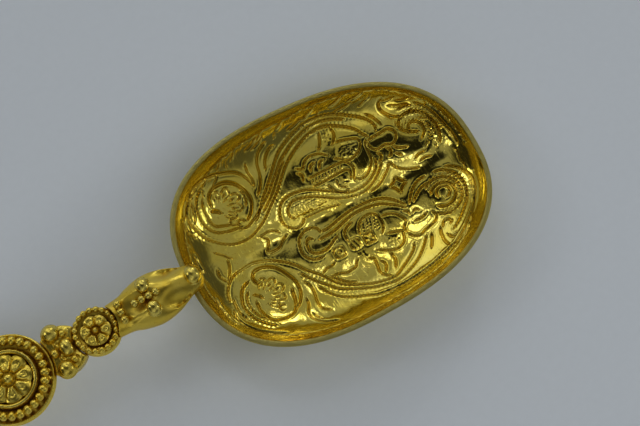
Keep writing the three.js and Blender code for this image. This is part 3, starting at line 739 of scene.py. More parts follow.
def engrave_tip(cut):
    """The star, the ties and the two scrolls at the tip, and the sprigs along the axis."""
    star = [(11.2, 1.65), (9.75, 0.5), (10.9, -1.05), (12.45, 0.1)]
    centre = np.array((11.1, 0.3))
    for corner, following in zip(star, star[1:] + star[:1]):
        bend = (np.array(corner) + following) / 2 * 0.72 + centre * 0.28
        cut.line([corner, tuple(bend), following], width=1.15, depth=1.3, roped=False)
    cut.lines([
        [(10.4, 8.3), (11.5, 8.4), (12.6, 8.35), (13.6, 8.4), (14.3, 7.9), (14.5, 7.2), (14.1, 6.5),
         (13.4, 6.2), (12.4, 6.6), (11.4, 6.5), (10.7, 6.8), (10.3, 7.6), (10.4, 8.3)],
        [(8.9, -6.6), (8.9, -5.6), (9.6, -5.0)],
        [(13.4, -5.4), (13.7, -6.3), (13.2, -7.0), (12.3, -7.3), (11.3, -7.5), (10.3, -7.8), (9.3, -7.3),
         (8.9, -6.6)],
        [(9.8, -3.3), (10.4, -3.7), (10.6, -4.4)],
        [(11.0, -4.3), (11.6, -4.0), (12.1, -4.5)],
        [(10.5, -5.5), (11.8, -5.6), (12.9, -5.3)],
    ], width=0.95, roped=False)
    cut.lines([
        [(10.8, 6.2), (11.2, 5.6), (10.9, 5.0), (10.4, 4.8)],
        [(12.3, 6.2), (12.8, 5.6), (12.5, 4.9), (11.9, 4.8)],
        [(13.3, 5.9), (14.0, 5.2), (15.3, 4.6)],
        [(13.1, 4.9), (13.9, 3.9)],
        [(15.0, 2.4), (15.8, 2.8), (17.0, 2.8)],
        [(15.4, 1.7), (16.3, 1.9), (17.3, 1.5)],
        [(14.4, 12.0), (13.9, 11.5), (14.1, 10.6), (15.1, 9.4), (16.2, 8.8)],
        [(13.7, 11.2), (14.4, 10.1), (15.0, 9.1)],
        [(13.3, -8.1), (12.8, -9.3), (12.6, -10.6), (12.8, -11.6)],
        [(14.5, -8.7), (15.0, -8.3), (14.7, -7.8), (14.0, -7.8), (13.5, -8.6)],
        [(13.4, -9.6), (13.8, -10.6), (14.6, -10.4)],
    ], width=1.1, roped=False)
    # The upper tip scroll.
    cut.line([(17.5, 5.6), (16.3, 6.4), (15.5, 7.2), (15.3, 7.9), (15.7, 8.5), (16.6, 8.8), (17.7, 8.5),
              (18.7, 7.6), (19.4, 6.3), (19.7, 5.0), (19.6, 3.6), (19.1, 2.4)], width=1.1)
    cut.line([(16.2, 6.2), (16.4, 7.0), (17.0, 7.4), (17.8, 6.9), (18.2, 6.0), (18.0, 5.1), (17.2, 4.5)],
             width=1.1, roped=False)
    cut.line([(18.3, 9.3), (19.4, 7.8), (20.1, 6.2), (20.6, 4.2), (20.9, 2.2), (20.9, 0.6)], roped=False)
    cut.line([(16.0, 9.8), (17.0, 9.7), (17.9, 9.2)], roped=False)
    cut.dots([(18.0, 7.2), (18.9, 6.2), (19.2, 4.2), (18.4, 3.2), (18.6, 5.0)], 0.4)
    # The lower tip scroll.
    cut.line(arc(16.2, -3.9, 0.95, 200, -90, 9), width=1.1, roped=False)
    cut.line(arc(16.0, -4.2, 1.75, 150, -150, 12), width=1.3, depth=1.1, roped=False)
    cut.line(arc(15.9, -4.3, 2.6, 130, -140, 14, 1.05), width=1.0)
    cut.line([(16.2, -0.6), (17.5, -1.0), (18.5, -2.0), (19.0, -3.2), (19.1, -4.5), (18.8, -5.7),
              (18.2, -6.8), (17.2, -7.8), (15.8, -8.9), (14.4, -9.7)], width=1.1)
    cut.line([(18.0, -0.7), (19.2, -1.7), (20.0, -3.2), (20.2, -4.7), (19.7, -6.3), (18.7, -7.8),
              (17.3, -9.2), (15.7, -10.4), (14.2, -11.3), (13.2, -11.8)], roped=False)
    cut.dots([(17.0, -2.4), (18.3, -3.4), (18.4, -5.6), (16.8, -7.2), (17.6, -5.4), (17.4, -3.4)], 0.4)
    for (cx, cy), inner, outer, start, strokes in HATCHED_BANDS:
        for i in range(strokes):
            turn = radians(start - 13 * i)
            lean = turn - 0.16
            inner_end = (cx + inner * cos(turn), cy + inner * sin(turn))
            outer_end = (cx + outer * cos(lean), cy + outer * sin(lean))
            cut.line([inner_end, outer_end], width=0.72, depth=0.6, roped=False)
    # Sprigs along the axis, from the heel forwards.
    cut.lines([
        [(-17.3, 3.3), (-16.4, 2.6), (-15.7, 1.8), (-15.2, 1.4)],
        [(-16.0, 1.6), (-16.2, 0.5), (-16.8, -0.6), (-17.4, -1.5)],
        [(-18.0, 0.8), (-18.2, -0.2), (-17.9, -0.9), (-17.4, -1.5)],
        [(-10.4, 2.9), (-9.8, 2.8), (-8.6, 2.9), (-7.8, 2.5), (-7.3, 1.8)],
        [(-10.1, 2.6), (-9.4, 1.8), (-9.7, 1.0), (-10.3, 0.0), (-8.7, -0.1), (-8.0, 0.3), (-7.3, 0.8),
         (-6.4, 1.2)],
        [(-20.0, 3.9), (-20.2, 2.2), (-20.1, 0.8)],
    ], roped=False)


def two_bars(u, v):
    return 1 - smooth_step(0.12, 0.3, np.abs(np.abs(u + 0.3 * v) - 0.32))


def ring_and_dot(u, v):
    reach = np.hypot(u, v)
    return 1 - smooth_step(0.1, 0.24, np.minimum(np.abs(reach - 0.55), reach))


def saltire(u, v):
    return (1 - smooth_step(0.1, 0.26, np.minimum(np.abs(u - v), np.abs(u + v)))) * (np.hypot(u, v) < 0.8)


def engrave_punches(cut):
    """Three small punches with plain devices, where a maker strikes marks."""
    cut.punch(-1.1, -4.5, 1.9, 1.85, ring_and_dot)
    cut.punch(1.55, -4.45, 1.85, 1.75, two_bars, 3.0)
    cut.punch(3.75, -4.55, 1.85, 1.9, saltire, 6.0)


GRAVER_STROKES = 34
SCRAPER_MARKS = 150
# Degrees between two marks that are scattered evenly round the bowl.
GOLDEN_TURN = 137.5


def superellipse(turn):
    """Reach of the bowl's plump oval at a turn, as a share of its half axes."""
    return (abs(cos(turn))**PLUMPNESS + abs(sin(turn))**PLUMPNESS)**(-1 / PLUMPNESS)


def engrave_walls(cut):
    """Strokes of a graver between the scrolls and the rim, and the scraper's marks along the wall."""
    half_length = (BOWL_HALF_LENGTH - RIM_WIDTH) / MM
    half_width = (BOWL_HALF_WIDTH - RIM_WIDTH) / MM

    def on_wall(turn, share):
        reach = share * superellipse(turn)
        return half_length * reach * cos(turn), half_width * reach * sin(turn)
    for i in range(GRAVER_STROKES):
        turn = radians(20 + i * 4.3 + 1.5 * sin(4.1 * i))
        lean = radians(5 + 3 * sin(1.3 * i))
        start = 0.90 + 0.025 * sin(2.7 * i)
        stroke = [
            on_wall(turn, start),
            on_wall(turn - lean / 2, start + 0.012),
            on_wall(turn - lean, start + 0.04),
        ]
        cut.line(stroke, width=0.8, depth=0.45 + 0.2 * sin(3.3 * i), roped=False)
    for i in range(SCRAPER_MARKS):
        turn = radians(GOLDEN_TURN * i)
        share = 0.91 + 0.07 * ((i * 0.618) % 1)
        span = radians(3 + 5 * ((i * 0.414) % 1))
        stroke = [on_wall(turn + span * step / 4, share + 0.004 * sin(step + i)) for step in range(5)]
        cut.line(stroke, width=0.55, depth=0.32, roped=False)


# ---- Operators ----
class SPOON_OT_bowl(bpy.types.Operator):
    """Makes the hammered bowl with its engraved inside"""
    bl_idname = "spoon.bowl"
    bl_label = "Engraved Bowl"

    TIP_TAPER = 0.045
    EDGE_SHARE = 0.9985
    RIDGE_SPREAD = 2.2
    UNDERSIDE_RIDGE = 1.2
    FILE_DEPTH = 0.035
    # Distance in from the outer edge and height of each ring of the rim, in millimetres.
    RIM_PROFILE = [
        (0.72, -0.09), (0.66, -0.02), (0.54, 0.0), (0.36, 0.0), (0.2, -0.01), (0.09, -0.06), (0.02, -0.17),
    ]
    # Each ring of the underside, as a share of the way out from the middle.
    UNDERSIDE_SHARES = (0.994, 0.975, 0.93, 0.85, 0.72, 0.56, 0.38, 0.2, 0.07)

    def outline_point(self, turn, share, inset):
        """A point of the bowl's plan, in millimetres; inset is the distance in from the outer edge."""
        half_length = BOWL_HALF_LENGTH / MM - inset
        half_width = self.half_width - inset
        x = half_length * share * superellipse(turn) * cos(turn)
        y = half_width * share * superellipse(turn) * sin(turn)
        return x, y * (1 - self.TIP_TAPER * x / half_length)

    def inner_height(self, x, y):
        half_length = (BOWL_HALF_LENGTH - RIM_WIDTH) / MM
        half_width = self.half_width - RIM_WIDTH / MM
        square_y = y / (1 - self.TIP_TAPER * x / half_length)
        share = np.abs(x / half_length)**PLUMPNESS + np.abs(square_y / half_width)**PLUMPNESS
        share = share**(1 / PLUMPNESS)
        fall = np.clip(1 - share**4, 0, 1)
        cut = bpy.context.scene.spoon_engraving
        across = (y - cut.ridge_shift / MM) / self.RIDGE_SPREAD
        # The ridge sinks to about half its height towards the heel.
        along = 0.55 + 0.45 * smooth_step(-13, -3, x)
        ridge = cut.ridge_height / MM * np.exp(-across**2) * fall * along
        return ridge - BOWL_DEPTH / MM * fall**0.7

    def underside_height(self, share, y):
        fall = 1 - share**4
        ridge = self.UNDERSIDE_RIDGE * exp(-(y / self.RIDGE_SPREAD)**2) * fall
        return ridge - (BOWL_DEPTH + BOWL_WALL) / MM * fall**0.7

    def inside_of_bowl(self, bm):
        """Lays a fine grid into the bowl and cuts the ornament into it."""
        bmesh.ops.create_grid(bm, x_segments=330, y_segments=240, size=1.0)
        bm.verts.ensure_lookup_table()
        square = np.array([vertex.co for vertex in bm.verts])
        p, q = square[:, 0], square[:, 1]
        u, v = p * np.sqrt(1 - q * q / 2), q * np.sqrt(1 - p * p / 2)
        turn = np.arctan2(v, u)
        share = np.hypot(u, v) * self.EDGE_SHARE
        plump = (np.abs(np.cos(turn))**PLUMPNESS + np.abs(np.sin(turn))**PLUMPNESS)**(-1 / PLUMPNESS)
        half_length = (BOWL_HALF_LENGTH - RIM_WIDTH) / MM
        x = half_length * share * plump * np.cos(turn)
        y = (self.half_width - RIM_WIDTH / MM) * share * plump * np.sin(turn)
        y *= 1 - self.TIP_TAPER * x / half_length
        cut = Engraving(x, y)
        noise.seed_set(7)
        engrave_upper_scroll(cut)
        engrave_lower_scroll(cut)
        engrave_leaves(cut)
        engrave_tip(cut)
        engrave_walls(cut)
        engrave_punches(cut)
        height = self.inner_height(x, y)
        step = 0.05
        slope_x = (self.inner_height(x + step, y) - self.inner_height(x - step, y)) / (2 * step)
        slope_y = (self.inner_height(x, y + step) - self.inner_height(x, y - step)) / (2 * step)
        normal = np.stack([-slope_x, -slope_y, np.ones(len(x))], 1)
        normal /= np.linalg.norm(normal, axis=1)[:, None]
        dents = np.array([noise.noise(Vector((a * 0.33, b * 0.33, 4.0))) for a, b in zip(x, y)])
        dents += 0.35 * np.array([noise.noise(Vector((a * 0.9, b * 0.9, 9.0))) for a, b in zip(x, y)])
        # The last rings stay plain, so that they meet the rim.
        calm = 1 - smooth_step(0.975, 0.998, share)
        raise_by = bpy.context.scene.spoon_engraving.dent_height / MM * dents + cut.lip - cut.depth
        points = np.stack([x, y, height], 1) + normal * (raise_by * calm)[:, None]
        for vertex, point in zip(bm.verts, points):
            vertex.co = point
        self.distance, self.along = cut.distance, cut.along
        # Painted shade: the walls get a darker gilt, mottled by the dents, and so do the grooves and the
        # punched fields.
        wall = smooth_step(0.84, 0.97, share) * (0.16 + 0.5 * dents)
        self.hollow = np.clip(cut.hollow + cut.depth * 1.3 + wall, 0, 1)

    def edge_turn(self, x, y, inset):
        """The turn of the plan outline that an edge point lies on."""
        half_length = BOWL_HALF_LENGTH / MM - inset
        square_y = y / (1 - self.TIP_TAPER * x / half_length)
        return atan2(square_y / (self.half_width - inset), x / half_length)

    def next_ring(self, bm, edges, previous_inset, move):
        """Extrudes the open edge and moves each new vertex by its turn."""
        made = bmesh.ops.extrude_edge_only(bm, edges=edges)["geom"]
        for vertex in made:
            if isinstance(vertex, bmesh.types.BMVert):
                turn = self.edge_turn(vertex.co.x, vertex.co.y, previous_inset)
                vertex.co = move(turn)
        return [edge for edge in made if isinstance(edge, bmesh.types.BMEdge)]

    def execute(self, context):
        self.half_width = BOWL_HALF_WIDTH / MM
        # The widest place of the tapered plan is a little wider than the plain superellipse.
        widest = max(self.outline_point(radians(turn / 4), 1, 0)[1] for turn in range(240, 480))
        self.half_width *= self.half_width / widest
        bm = bmesh.new()
        self.inside_of_bowl(bm)
        inner_count = len(bm.verts)
        edges = [edge for edge in bm.edges if edge.is_boundary]
        inset = RIM_WIDTH / MM
        for rim_inset, height in self.RIM_PROFILE:
            def filed(turn):
                x, y = self.outline_point(turn, 1, rim_inset)
                mark = noise.noise(Vector((x * 3.1, y * 3.1, 30 + height)))
                mark += 0.6 * noise.noise(Vector((x, y, 40)))
                return Vector((x, y, height - self.FILE_DEPTH * abs(mark)))
            edges = self.next_ring(bm, edges, inset, filed)
            inset = rim_inset
        rim_count = len(bm.verts)
        for share in self.UNDERSIDE_SHARES:
            def under(turn):
                x, y = self.outline_point(turn, share, 0)
                planished = 0.03 * (1 + noise.noise(Vector((x * 0.45, y * 0.45, 20.0))))
                return Vector((x, y, self.underside_height(share, y) + planished * (1 - share**6)))
            edges = self.next_ring(bm, edges, inset, under)
            inset = 0
        bmesh.ops.contextual_create(bm, geom=edges)
        split_wide_faces(bm)
        bm.verts.ensure_lookup_table()
        count = len(bm.verts)
        layers = {
            "line_distance": np.concatenate([self.distance, np.full(count - inner_count, 2.0)]),
            "line_along": np.concatenate([self.along, np.zeros(count - inner_count)]),
            # The hollow layer carries the painted shade of the grooves, walls and punched fields.
            "hollow": np.concatenate([self.hollow, np.zeros(count - inner_count)]),
            "rim": np.concatenate([np.zeros(inner_count), np.ones(rim_count - inner_count),
                                   np.zeros(count - rim_count)]),
        }
        for name, values in layers.items():
            layer = bm.verts.layers.float.new(name)
            for vertex, value in zip(bm.verts, values):
                vertex[layer] = value
        bmesh.ops.scale(bm, vec=(MM, MM, MM), verts=bm.verts)
        finish_piece("bowl_engraved", bm, BOWL, bowl_material(), ["bowl"])
        return {"FINISHED"}


def sculpt(bm, move):
    """Moves every vertex by a function of its place, in millimetres."""
    for vertex in bm.verts:
        vertex.co = move(vertex.co.x, vertex.co.y, vertex.co.z)


def swelling(value, centre, spread):
    return exp(-((value - centre) / spread)**2)


def boss_bmesh(radius, stem):
    """A round boss on a short stem, a little uneven as cast bosses are; its seat is at z = 0."""
    fillet = 0.12
    outline = [(0, -stem), (radius, -stem), (radius + fillet, 0.0), (radius + fillet * 0.4, fillet * 0.6)]
    outline += [(radius * cos(pi / 2 * step / 14), radius * sin(pi / 2 * step / 14)) for step in range(1, 14)]
    outline.append((0, radius))
    bm = turned_bmesh(outline, 40)
    seed = radius * 3

    def uneven(x, y, z):
        wave = noise.noise(Vector((x * 0.8 + seed, y * 0.8, z * 0.8)))
        return Vector((x, y, z)) * (1 + 0.03 * wave * smooth_step(0, radius * 0.4, z))
    sculpt(bm, uneven)
    return bm


def beaded_bmesh(radius, bead_radius, count):
    """A ring of beads joined by their wire, lying on z = 0."""
    bm = bmesh.new()
    ring = Matrix.Translation((radius, 0, 0)) @ Matrix.Rotation(pi / 2, 4, "X")
    circle = bmesh.ops.create_circle(bm, segments=18, radius=bead_radius, matrix=ring)
    edges = list({edge for vertex in circle["verts"] for edge in vertex.link_edges})
    bmesh.ops.spin(bm, geom=circle["verts"] + edges, cent=(0, 0, 0), axis=(0, 0, 1), angle=2 * pi,
                   steps=count * 16, use_merge=True, use_duplicate=False)
    bmesh.ops.remove_doubles(bm, verts=bm.verts, dist=1e-6)

    def bead(x, y, z):
        place = atan2(y, x) * count / (2 * pi)
        across = 2 * (place % 1) - 1
        swell = max(sqrt(max(1 - across**2, 0)), 0.3)
        size = 1 + 0.07 * sin(5.1 * int(place % count))
        from_axis = hypot(x, y)
        to_axis = radius + (from_axis - radius) * swell * min(size, 1.0)
        return Vector((x * to_axis / from_axis, y * to_axis / from_axis, z * swell + bead_radius))
    sculpt(bm, bead)
    return bm


def bead_strip_bmesh(bead_radius, count):
    """A straight bead wire along X."""
    outline = [(0, -bead_radius * count)]
    steps = 12
    for bead in range(count):
        centre = bead_radius * (2 * bead - count + 1)
        for step in range(1, steps):
            turn = pi * step / steps
            outline.append((max(sin(turn), 0.35) * bead_radius, centre - cos(turn) * bead_radius))
    outline.append((0, bead_radius * count))
    bm = turned_bmesh(outline, 20)
    bmesh.ops.rotate(bm, cent=(0, 0, 0), matrix=Matrix.Rotation(pi / 2, 3, "Y"), verts=bm.verts)
    return bm


def placed(place, centre, turn=0.0):
    """A place in millimetres on top of a place in metres, for a piece modelled in millimetres."""
    shift = Matrix.Translation(centre) @ Matrix.Rotation(turn, 4, "Z")
    return place @ Matrix.Scale(MM, 4) @ shift


def extent_mm(node, place):
    low, high = node_extent(node, place)
    return low / MM, high / MM


def material_for(name, *settings, **more):
    return bpy.data.materials.get(name) or gilt_material(name, *settings, **more)


def satin_gilt():
    """Deep-coloured gilt with softer gloss, as on the beadwork and the rosettes."""
    return material_for("Satin gilt", 0.30, 0.4, 0.10, (1.05, 1.0, 0.85))


def cast_gilt():
    """The dull, deep gilt of the cast heads."""
    return material_for("Cast gilt", 0.25, 0.3, 0.16, (0.95, 0.88, 0.65))


def polished_gilt():
    """Paler gilt, rubbed in patches, with painted shade in its crevices."""
    return material_for("Polished gilt", 0.45, 0.6, 0.09, (0.95, 0.92, 0.9))


class SPOON_OT_heads(bpy.types.Operator):
    """Makes the two beasts' heads"""
    bl_idname = "spoon.heads"
    bl_label = "Beasts' Heads"

    BACK = 2.0
    FLATNESS = 0.78
    WIDTH = 7.4
    NECK = 5.0
    MUZZLE = 4.3
    # The rear mouth closes round the shaft; the front muzzle stays this far above the rim.
    MOUTH_RADIUS = 1.63
    RIM_GAP = 0.06
    # Distance from the neck and share of the height of the marks on each jaw.
    JAW_MARKS = ((9.2, 0.42), (10.3, 0.36), (8.4, 0.5))

    def head_outline(self, length, mouth):
        """[radius, distance from the neck] pairs; a head that holds the shaft has an open mouth."""
        overlap = 0.8
        rough = [
            (-overlap, self.NECK / 2),
            (length * 0.1, self.NECK / 2 * 1.08),
            (length * 0.2, self.WIDTH / 2 * 0.86),
            (length * 0.4, self.WIDTH / 2),
            (length * 0.6, self.WIDTH / 2 * 0.9),
            (length * 0.82, self.MUZZLE / 2),
        ]
        if mouth:
            rough += [(length * 0.93, self.MUZZLE / 2 * 0.93), (length, mouth + 0.3)]
            curve = smooth_path(rough, 0.16)
            inner = [(length - 0.02, mouth + 0.06), (length - 0.3, mouth), (length - 1.4, mouth),
                     (length - 1.4, 0)]
            curve = np.vstack([curve, inner])
        else:
            rough += [
                (length * 0.92, self.MUZZLE / 2 * 0.86),
                (length * 0.975, self.MUZZLE / 2 * 0.52),
                (length, 0),
            ]
            curve = smooth_path(rough, 0.16)
        return [(0, -overlap)] + [(max(radius, 0), along) for along, radius in curve]

    def execute(self, context):
        for end, place in ENDS.items():
            head_high = extent_mm(f"{end}_beast_head", place)[1]
            roundel_low, roundel_high = extent_mm(f"{end}_small_roundel", place)
            roundel_x = (roundel_low.x + roundel_high.x) / 2
            roundel_radius = (roundel_high.x - roundel_low.x) / 2 + 0.05
            neck_x = roundel_high.x
            length = head_high.x - neck_x
            shaft_radius = self.MOUTH_RADIUS if end == "rear" else 0
            bm = turned_bmesh(self.head_outline(length, shaft_radius), 96)
            bmesh.ops.rotate(bm, cent=(0, 0, 0), matrix=Matrix.Rotation(pi / 2, 3, "Y"), verts=bm.verts)
            to_bowl = BOWL.inverted() @ place @ Matrix.Scale(MM, 4)
            from_bowl = to_bowl.inverted()
            is_front = end == "front"

            def shape(x, y, z):
                radius = max(hypot(y, z), 1e-6)
                up = z / radius
                side = abs(y)
                inside_mouth = (not is_front) and x > length - 1.6 and radius < shaft_radius + 0.1
                z *= self.FLATNESS
                if not inside_mouth:
                    top = smooth_step(0.05, 0.6, up)
                    # Brow ridges over the eyes, and the trough between them.
                    z += 0.35 * top * swelling(x, 5.4, 1.5) * swelling(side, 1.7, 0.9)
                    z -= 0.75 * top * swelling(x, 3.4, 1.8) * swelling(side, 0.0, 1.3)
                    # Hollow cheeks on both sides of the snout's rounded ridge.
                    cheek = swelling(x, 8.6, 1.9) * swelling(side, 2.25, 0.8)
                    z -= top * cheek
                    z += 0.22 * top * swelling(side, 0, 0.9) * smooth_step(6.5, 8.5, x)
                    # Ears laid back along the neck, each with a hollow.
                    ear = swelling(x, 2.6, 1.5) * swelling(side, 2.25 - 0.12 * x, 0.5)
                    z += 0.3 * top * ear
                    z -= 0.26 * top * swelling(x, 2.5, 1.0) * swelling(side, 1.95, 0.22)
                    # The line of the mouth and the marks on the jaw.
                    mouth = swelling(up, -0.05 + 0.25 * (x / length - 0.8), 0.085) * smooth_step(7.6, 8.8, x)
                    y -= 0.28 * mouth * (1 if y > 0 else -1) * smooth_step(0.05, 0.5, side)
                    for mark_x, mark_up in self.JAW_MARKS:
                        pit = swelling(x, mark_x, 0.28) * swelling(up, mark_up, 0.12)
                        z -= 0.3 * pit
                        y -= 0.2 * pit * (1 if y > 0 else -1)
                    wave = noise.noise(Vector((x * 0.5, y * 0.5, z * 0.5 + 3)))
                    z += 0.08 * wave
                z = max(z, -self.BACK)
                x += neck_x
                # The neck is filed to the curve of the small roundel.
                from_roundel = hypot(x - roundel_x, y)
                if from_roundel < roundel_radius and abs(y) < roundel_radius:
                    x = roundel_x + sqrt(roundel_radius**2 - y * y)
                point = Vector((x, y, z))
                if is_front:
                    # The muzzle is cut away underneath to sit over the rim.
                    seated = to_bowl @ point * (1 / MM)
                    if seated.x > -BOWL_HALF_LENGTH / MM - 0.05 and seated.z < self.RIM_GAP:
                        seated.z = self.RIM_GAP
                        point = from_bowl @ (seated * MM)
                return point
            sculpt(bm, shape)
            bmesh.ops.remove_doubles(bm, verts=bm.verts, dist=1e-4)
            finish_piece(f"{end}_head_cast", bm, placed(place, (0, 0, 0)), cast_gilt(),
                         [f"{end}_beast_head"])
        return {"FINISHED"}


class SPOON_OT_bosses(bpy.types.Operator):
    """Makes the eyes, the nose bosses, the pearls and the links' domes"""
    bl_idname = "spoon.bosses"
    bl_label = "Bosses"

    # How far each hand-finished boss swells over its turned blank, along its own axes.
    SWELLING = {
        "eye": (1.08, 1.25, 1.15),
        "nose": (1.05, 1.12, 1.1),
        "pearl": (1.12, 1.12, 1.08),
        "link": (1.0, 1.3, 1.0),
    }
    KINDS = ("eye_left", "eye_right", "nose_boss", "pearl_left", "pearl_right", "link_dome")

    def execute(self, context):
        for end, place in ENDS.items():
            for kind in self.KINDS:
                node = f"{end}_{kind}"
                low, high = extent_mm(node, place)
                radius = (high.y - low.y) / 2
                centre = (low + high) / 2
                seat = high.z - radius
                bm = boss_bmesh(radius, seat - low.z)
                bmesh.ops.scale(bm, vec=self.SWELLING[kind.split("_")[0]], verts=bm.verts)
                finish_piece(f"{node}_turned", bm, placed(place, (centre.x, centre.y, seat)), polished_gilt(),
                             [node])
        return {"FINISHED"}


class SPOON_OT_beading(bpy.types.Operator):
    """Makes the bead wires on the brows, necks and roundels"""
    bl_idname = "spoon.beading"
    bl_label = "Beading"

    # Beads stand a little fuller and higher than their wires' blanks.
    STRIP_SWELLING = 1.15
    RING_SWELLING = 1.18
    STRIP_RISE = 0.12

    def execute(self, context):
        for end, place in ENDS.items():
            for kind, count, turn in (("brow_beads", 4, 0.0), ("neck_beads", 3, pi / 2)):
                node = f"{end}_{kind}"
                low, high = extent_mm(node, place)
                bead_radius = (high.z - low.z) / 2 * self.STRIP_SWELLING
                bm = bead_strip_bmesh(bead_radius, count)
                middle = (low + high) / 2 + Vector((0, 0, self.STRIP_RISE))
                finish_piece(f"{node}_wire", bm, placed(place, middle, turn), polished_gilt(),
                             [node])
        rings = [(f"{end}_small_roundel_beading", place, 20) for end, place in ENDS.items()]
        rings.append(("large_roundel_beading", HANDLE, 28))
        for node, place, count in rings:
            low, high = extent_mm(node, place)
            bead_radius = (high.z - low.z) / 2 * self.RING_SWELLING
            bm = beaded_bmesh((high.y - low.y) / 2 - bead_radius, bead_radius, count)
            centre = (low + high) / 2
            finish_piece(f"{node}_wire", bm, placed(place, (centre.x, centre.y, low.z)), satin_gilt(),
                         [node])
        return {"FINISHED"}


class SPOON_OT_roundels(bpy.types.Operator):
    """Makes the three roundel plates and the plain collar"""
    bl_idname = "spoon.roundels"
    bl_label = "Roundels"

    COLLAR_WIDTH = 0.75

    def plate_outline(self, radius, thick):
        """A plate with a reeded edge and a shallow dish round its ornament; its top is at z = 0."""
        outline = [(0, -thick), (radius - 0.35, -thick), (radius - 0.1, -thick + 0.1), (radius, -thick + 0.3)]
        outline += [(radius - 0.09 * (1 - cos(2 * pi * step / 12)), -thick + 0.35 + 0.07 * step)
                    for step in range(13)]
        outline += [(radius - 0.05, -0.1), (radius - 0.2, 0.0), (radius - 0.32, -0.02), (radius - 0.4, -0.08),
                    (0, -0.08)]
        return outline

    def execute(self, context):
        plates = [(f"{end}_small_roundel", place) for end, place in ENDS.items()]
        plates.append(("large_roundel", HANDLE))
        for node, place in plates:
            low, high = extent_mm(node, place)
            centre = (low + high) / 2
            bm = turned_bmesh(self.plate_outline((high.y - low.y) / 2, high.z - low.z), 96)
            finish_piece(f"{node}_plate", bm, placed(place, (centre.x, centre.y, high.z)), satin_gilt(),
                         [node])
        low, high = extent_mm("large_roundel_collar", HANDLE)
        outer, height, wide = (high.y - low.y) / 2, high.z - low.z, self.COLLAR_WIDTH
        middle = outer - wide / 2
        arch = [(middle + wide / 2 * cos(turn), height * (0.35 + 0.65 * sin(turn)))
                for turn in (pi * step / 16 for step in range(17))]
        profile = [(outer, 0), *arch, (outer - wide, 0)]
        bm = bmesh.new()
        verts = [bm.verts.new((radius, 0, z)) for radius, z in profile]
        edges = [bm.edges.new(pair) for pair in zip(verts, verts[1:] + verts[:1])]
        bmesh.ops.spin(bm, geom=verts + edges, cent=(0, 0, 0), axis=(0, 0, 1), angle=2 * pi, steps=112,
                       use_merge=True, use_duplicate=False)
        bmesh.ops.remove_doubles(bm, verts=bm.verts, dist=1e-6)
        finish_piece("large_roundel_collar_ring", bm, placed(HANDLE, (0, 0, low.z)), polished_gilt(),
                     ["large_roundel_collar"])
        return {"FINISHED"}


class SPOON_OT_rosettes(bpy.types.Operator):
    """Makes the rosettes of the three roundels"""
    bl_idname = "spoon.rosettes"
    bl_label = "Rosettes"

    # The petals stand lower than the bead in their middle.
    PETAL_HEIGHT = 0.72

    def rosette(self, radius, height, petals):
        """A rosette of cupped petals with a centre bead on a small collar."""
        outline = [(0, 0), (radius, 0), (radius, height * 0.2)]
        outline += [(radius * (1 - step / 40), height * 0.3) for step in range(1, 40)]
        outline.append((0, height * 0.3))
        bm = turned_bmesh(outline, petals * 18)

        def shape(x, y, z):
            if z < height * 0.1:
                return Vector((x, y, z))
            from_axis = hypot(x, y) / radius
            turn = (atan2(y, x) * petals / (2 * pi)) % 1
            off_vein = abs(turn - 0.5) * 2
            petal = smooth_step(0.24, 0.4, from_axis)
            lobe = sqrt(max(1 - (off_vein * 1.02)**2, 0))
            tip = 1 - smooth_step(0.75, 1.0, from_axis + 0.22 * (1 - lobe))
            crown = petal * lobe * (0.55 + 0.45 * tip)
            cup = swelling(from_axis, 0.68, 0.15) * swelling(off_vein, 0, 0.42)
            vein = swelling(off_vein, 0, 0.13) * petal * (1 - smooth_step(0.6, 0.85, from_axis))
            bead = sqrt(max(1 - (from_axis / 0.24)**2, 0))
            rise = 0.25 + 0.75 * crown - 0.42 * cup * petal + 0.18 * vein + 1.15 * bead
            pull = 1 - 0.13 * petal * (1 - lobe)
            return Vector((x * pull, y * pull, height * max(rise, 0.08)))
        sculpt(bm, shape)
        return bm

    def execute(self, context):
        several = [(f"{end}_small_rosette", place, 6) for end, place in ENDS.items()]
        several.append(("large_rosette", HANDLE, 8))
        for node, place, petals in several:
            low, high = extent_mm(node, place)
            centre = (low + high) / 2
            bm = self.rosette((high.y - low.y) / 2, (high.z - low.z) * self.PETAL_HEIGHT, petals)
            finish_piece(f"{node}_petals", bm, placed(place, (centre.x, centre.y, low.z), 0.2), satin_gilt(),
                         [node])
        return {"FINISHED"}


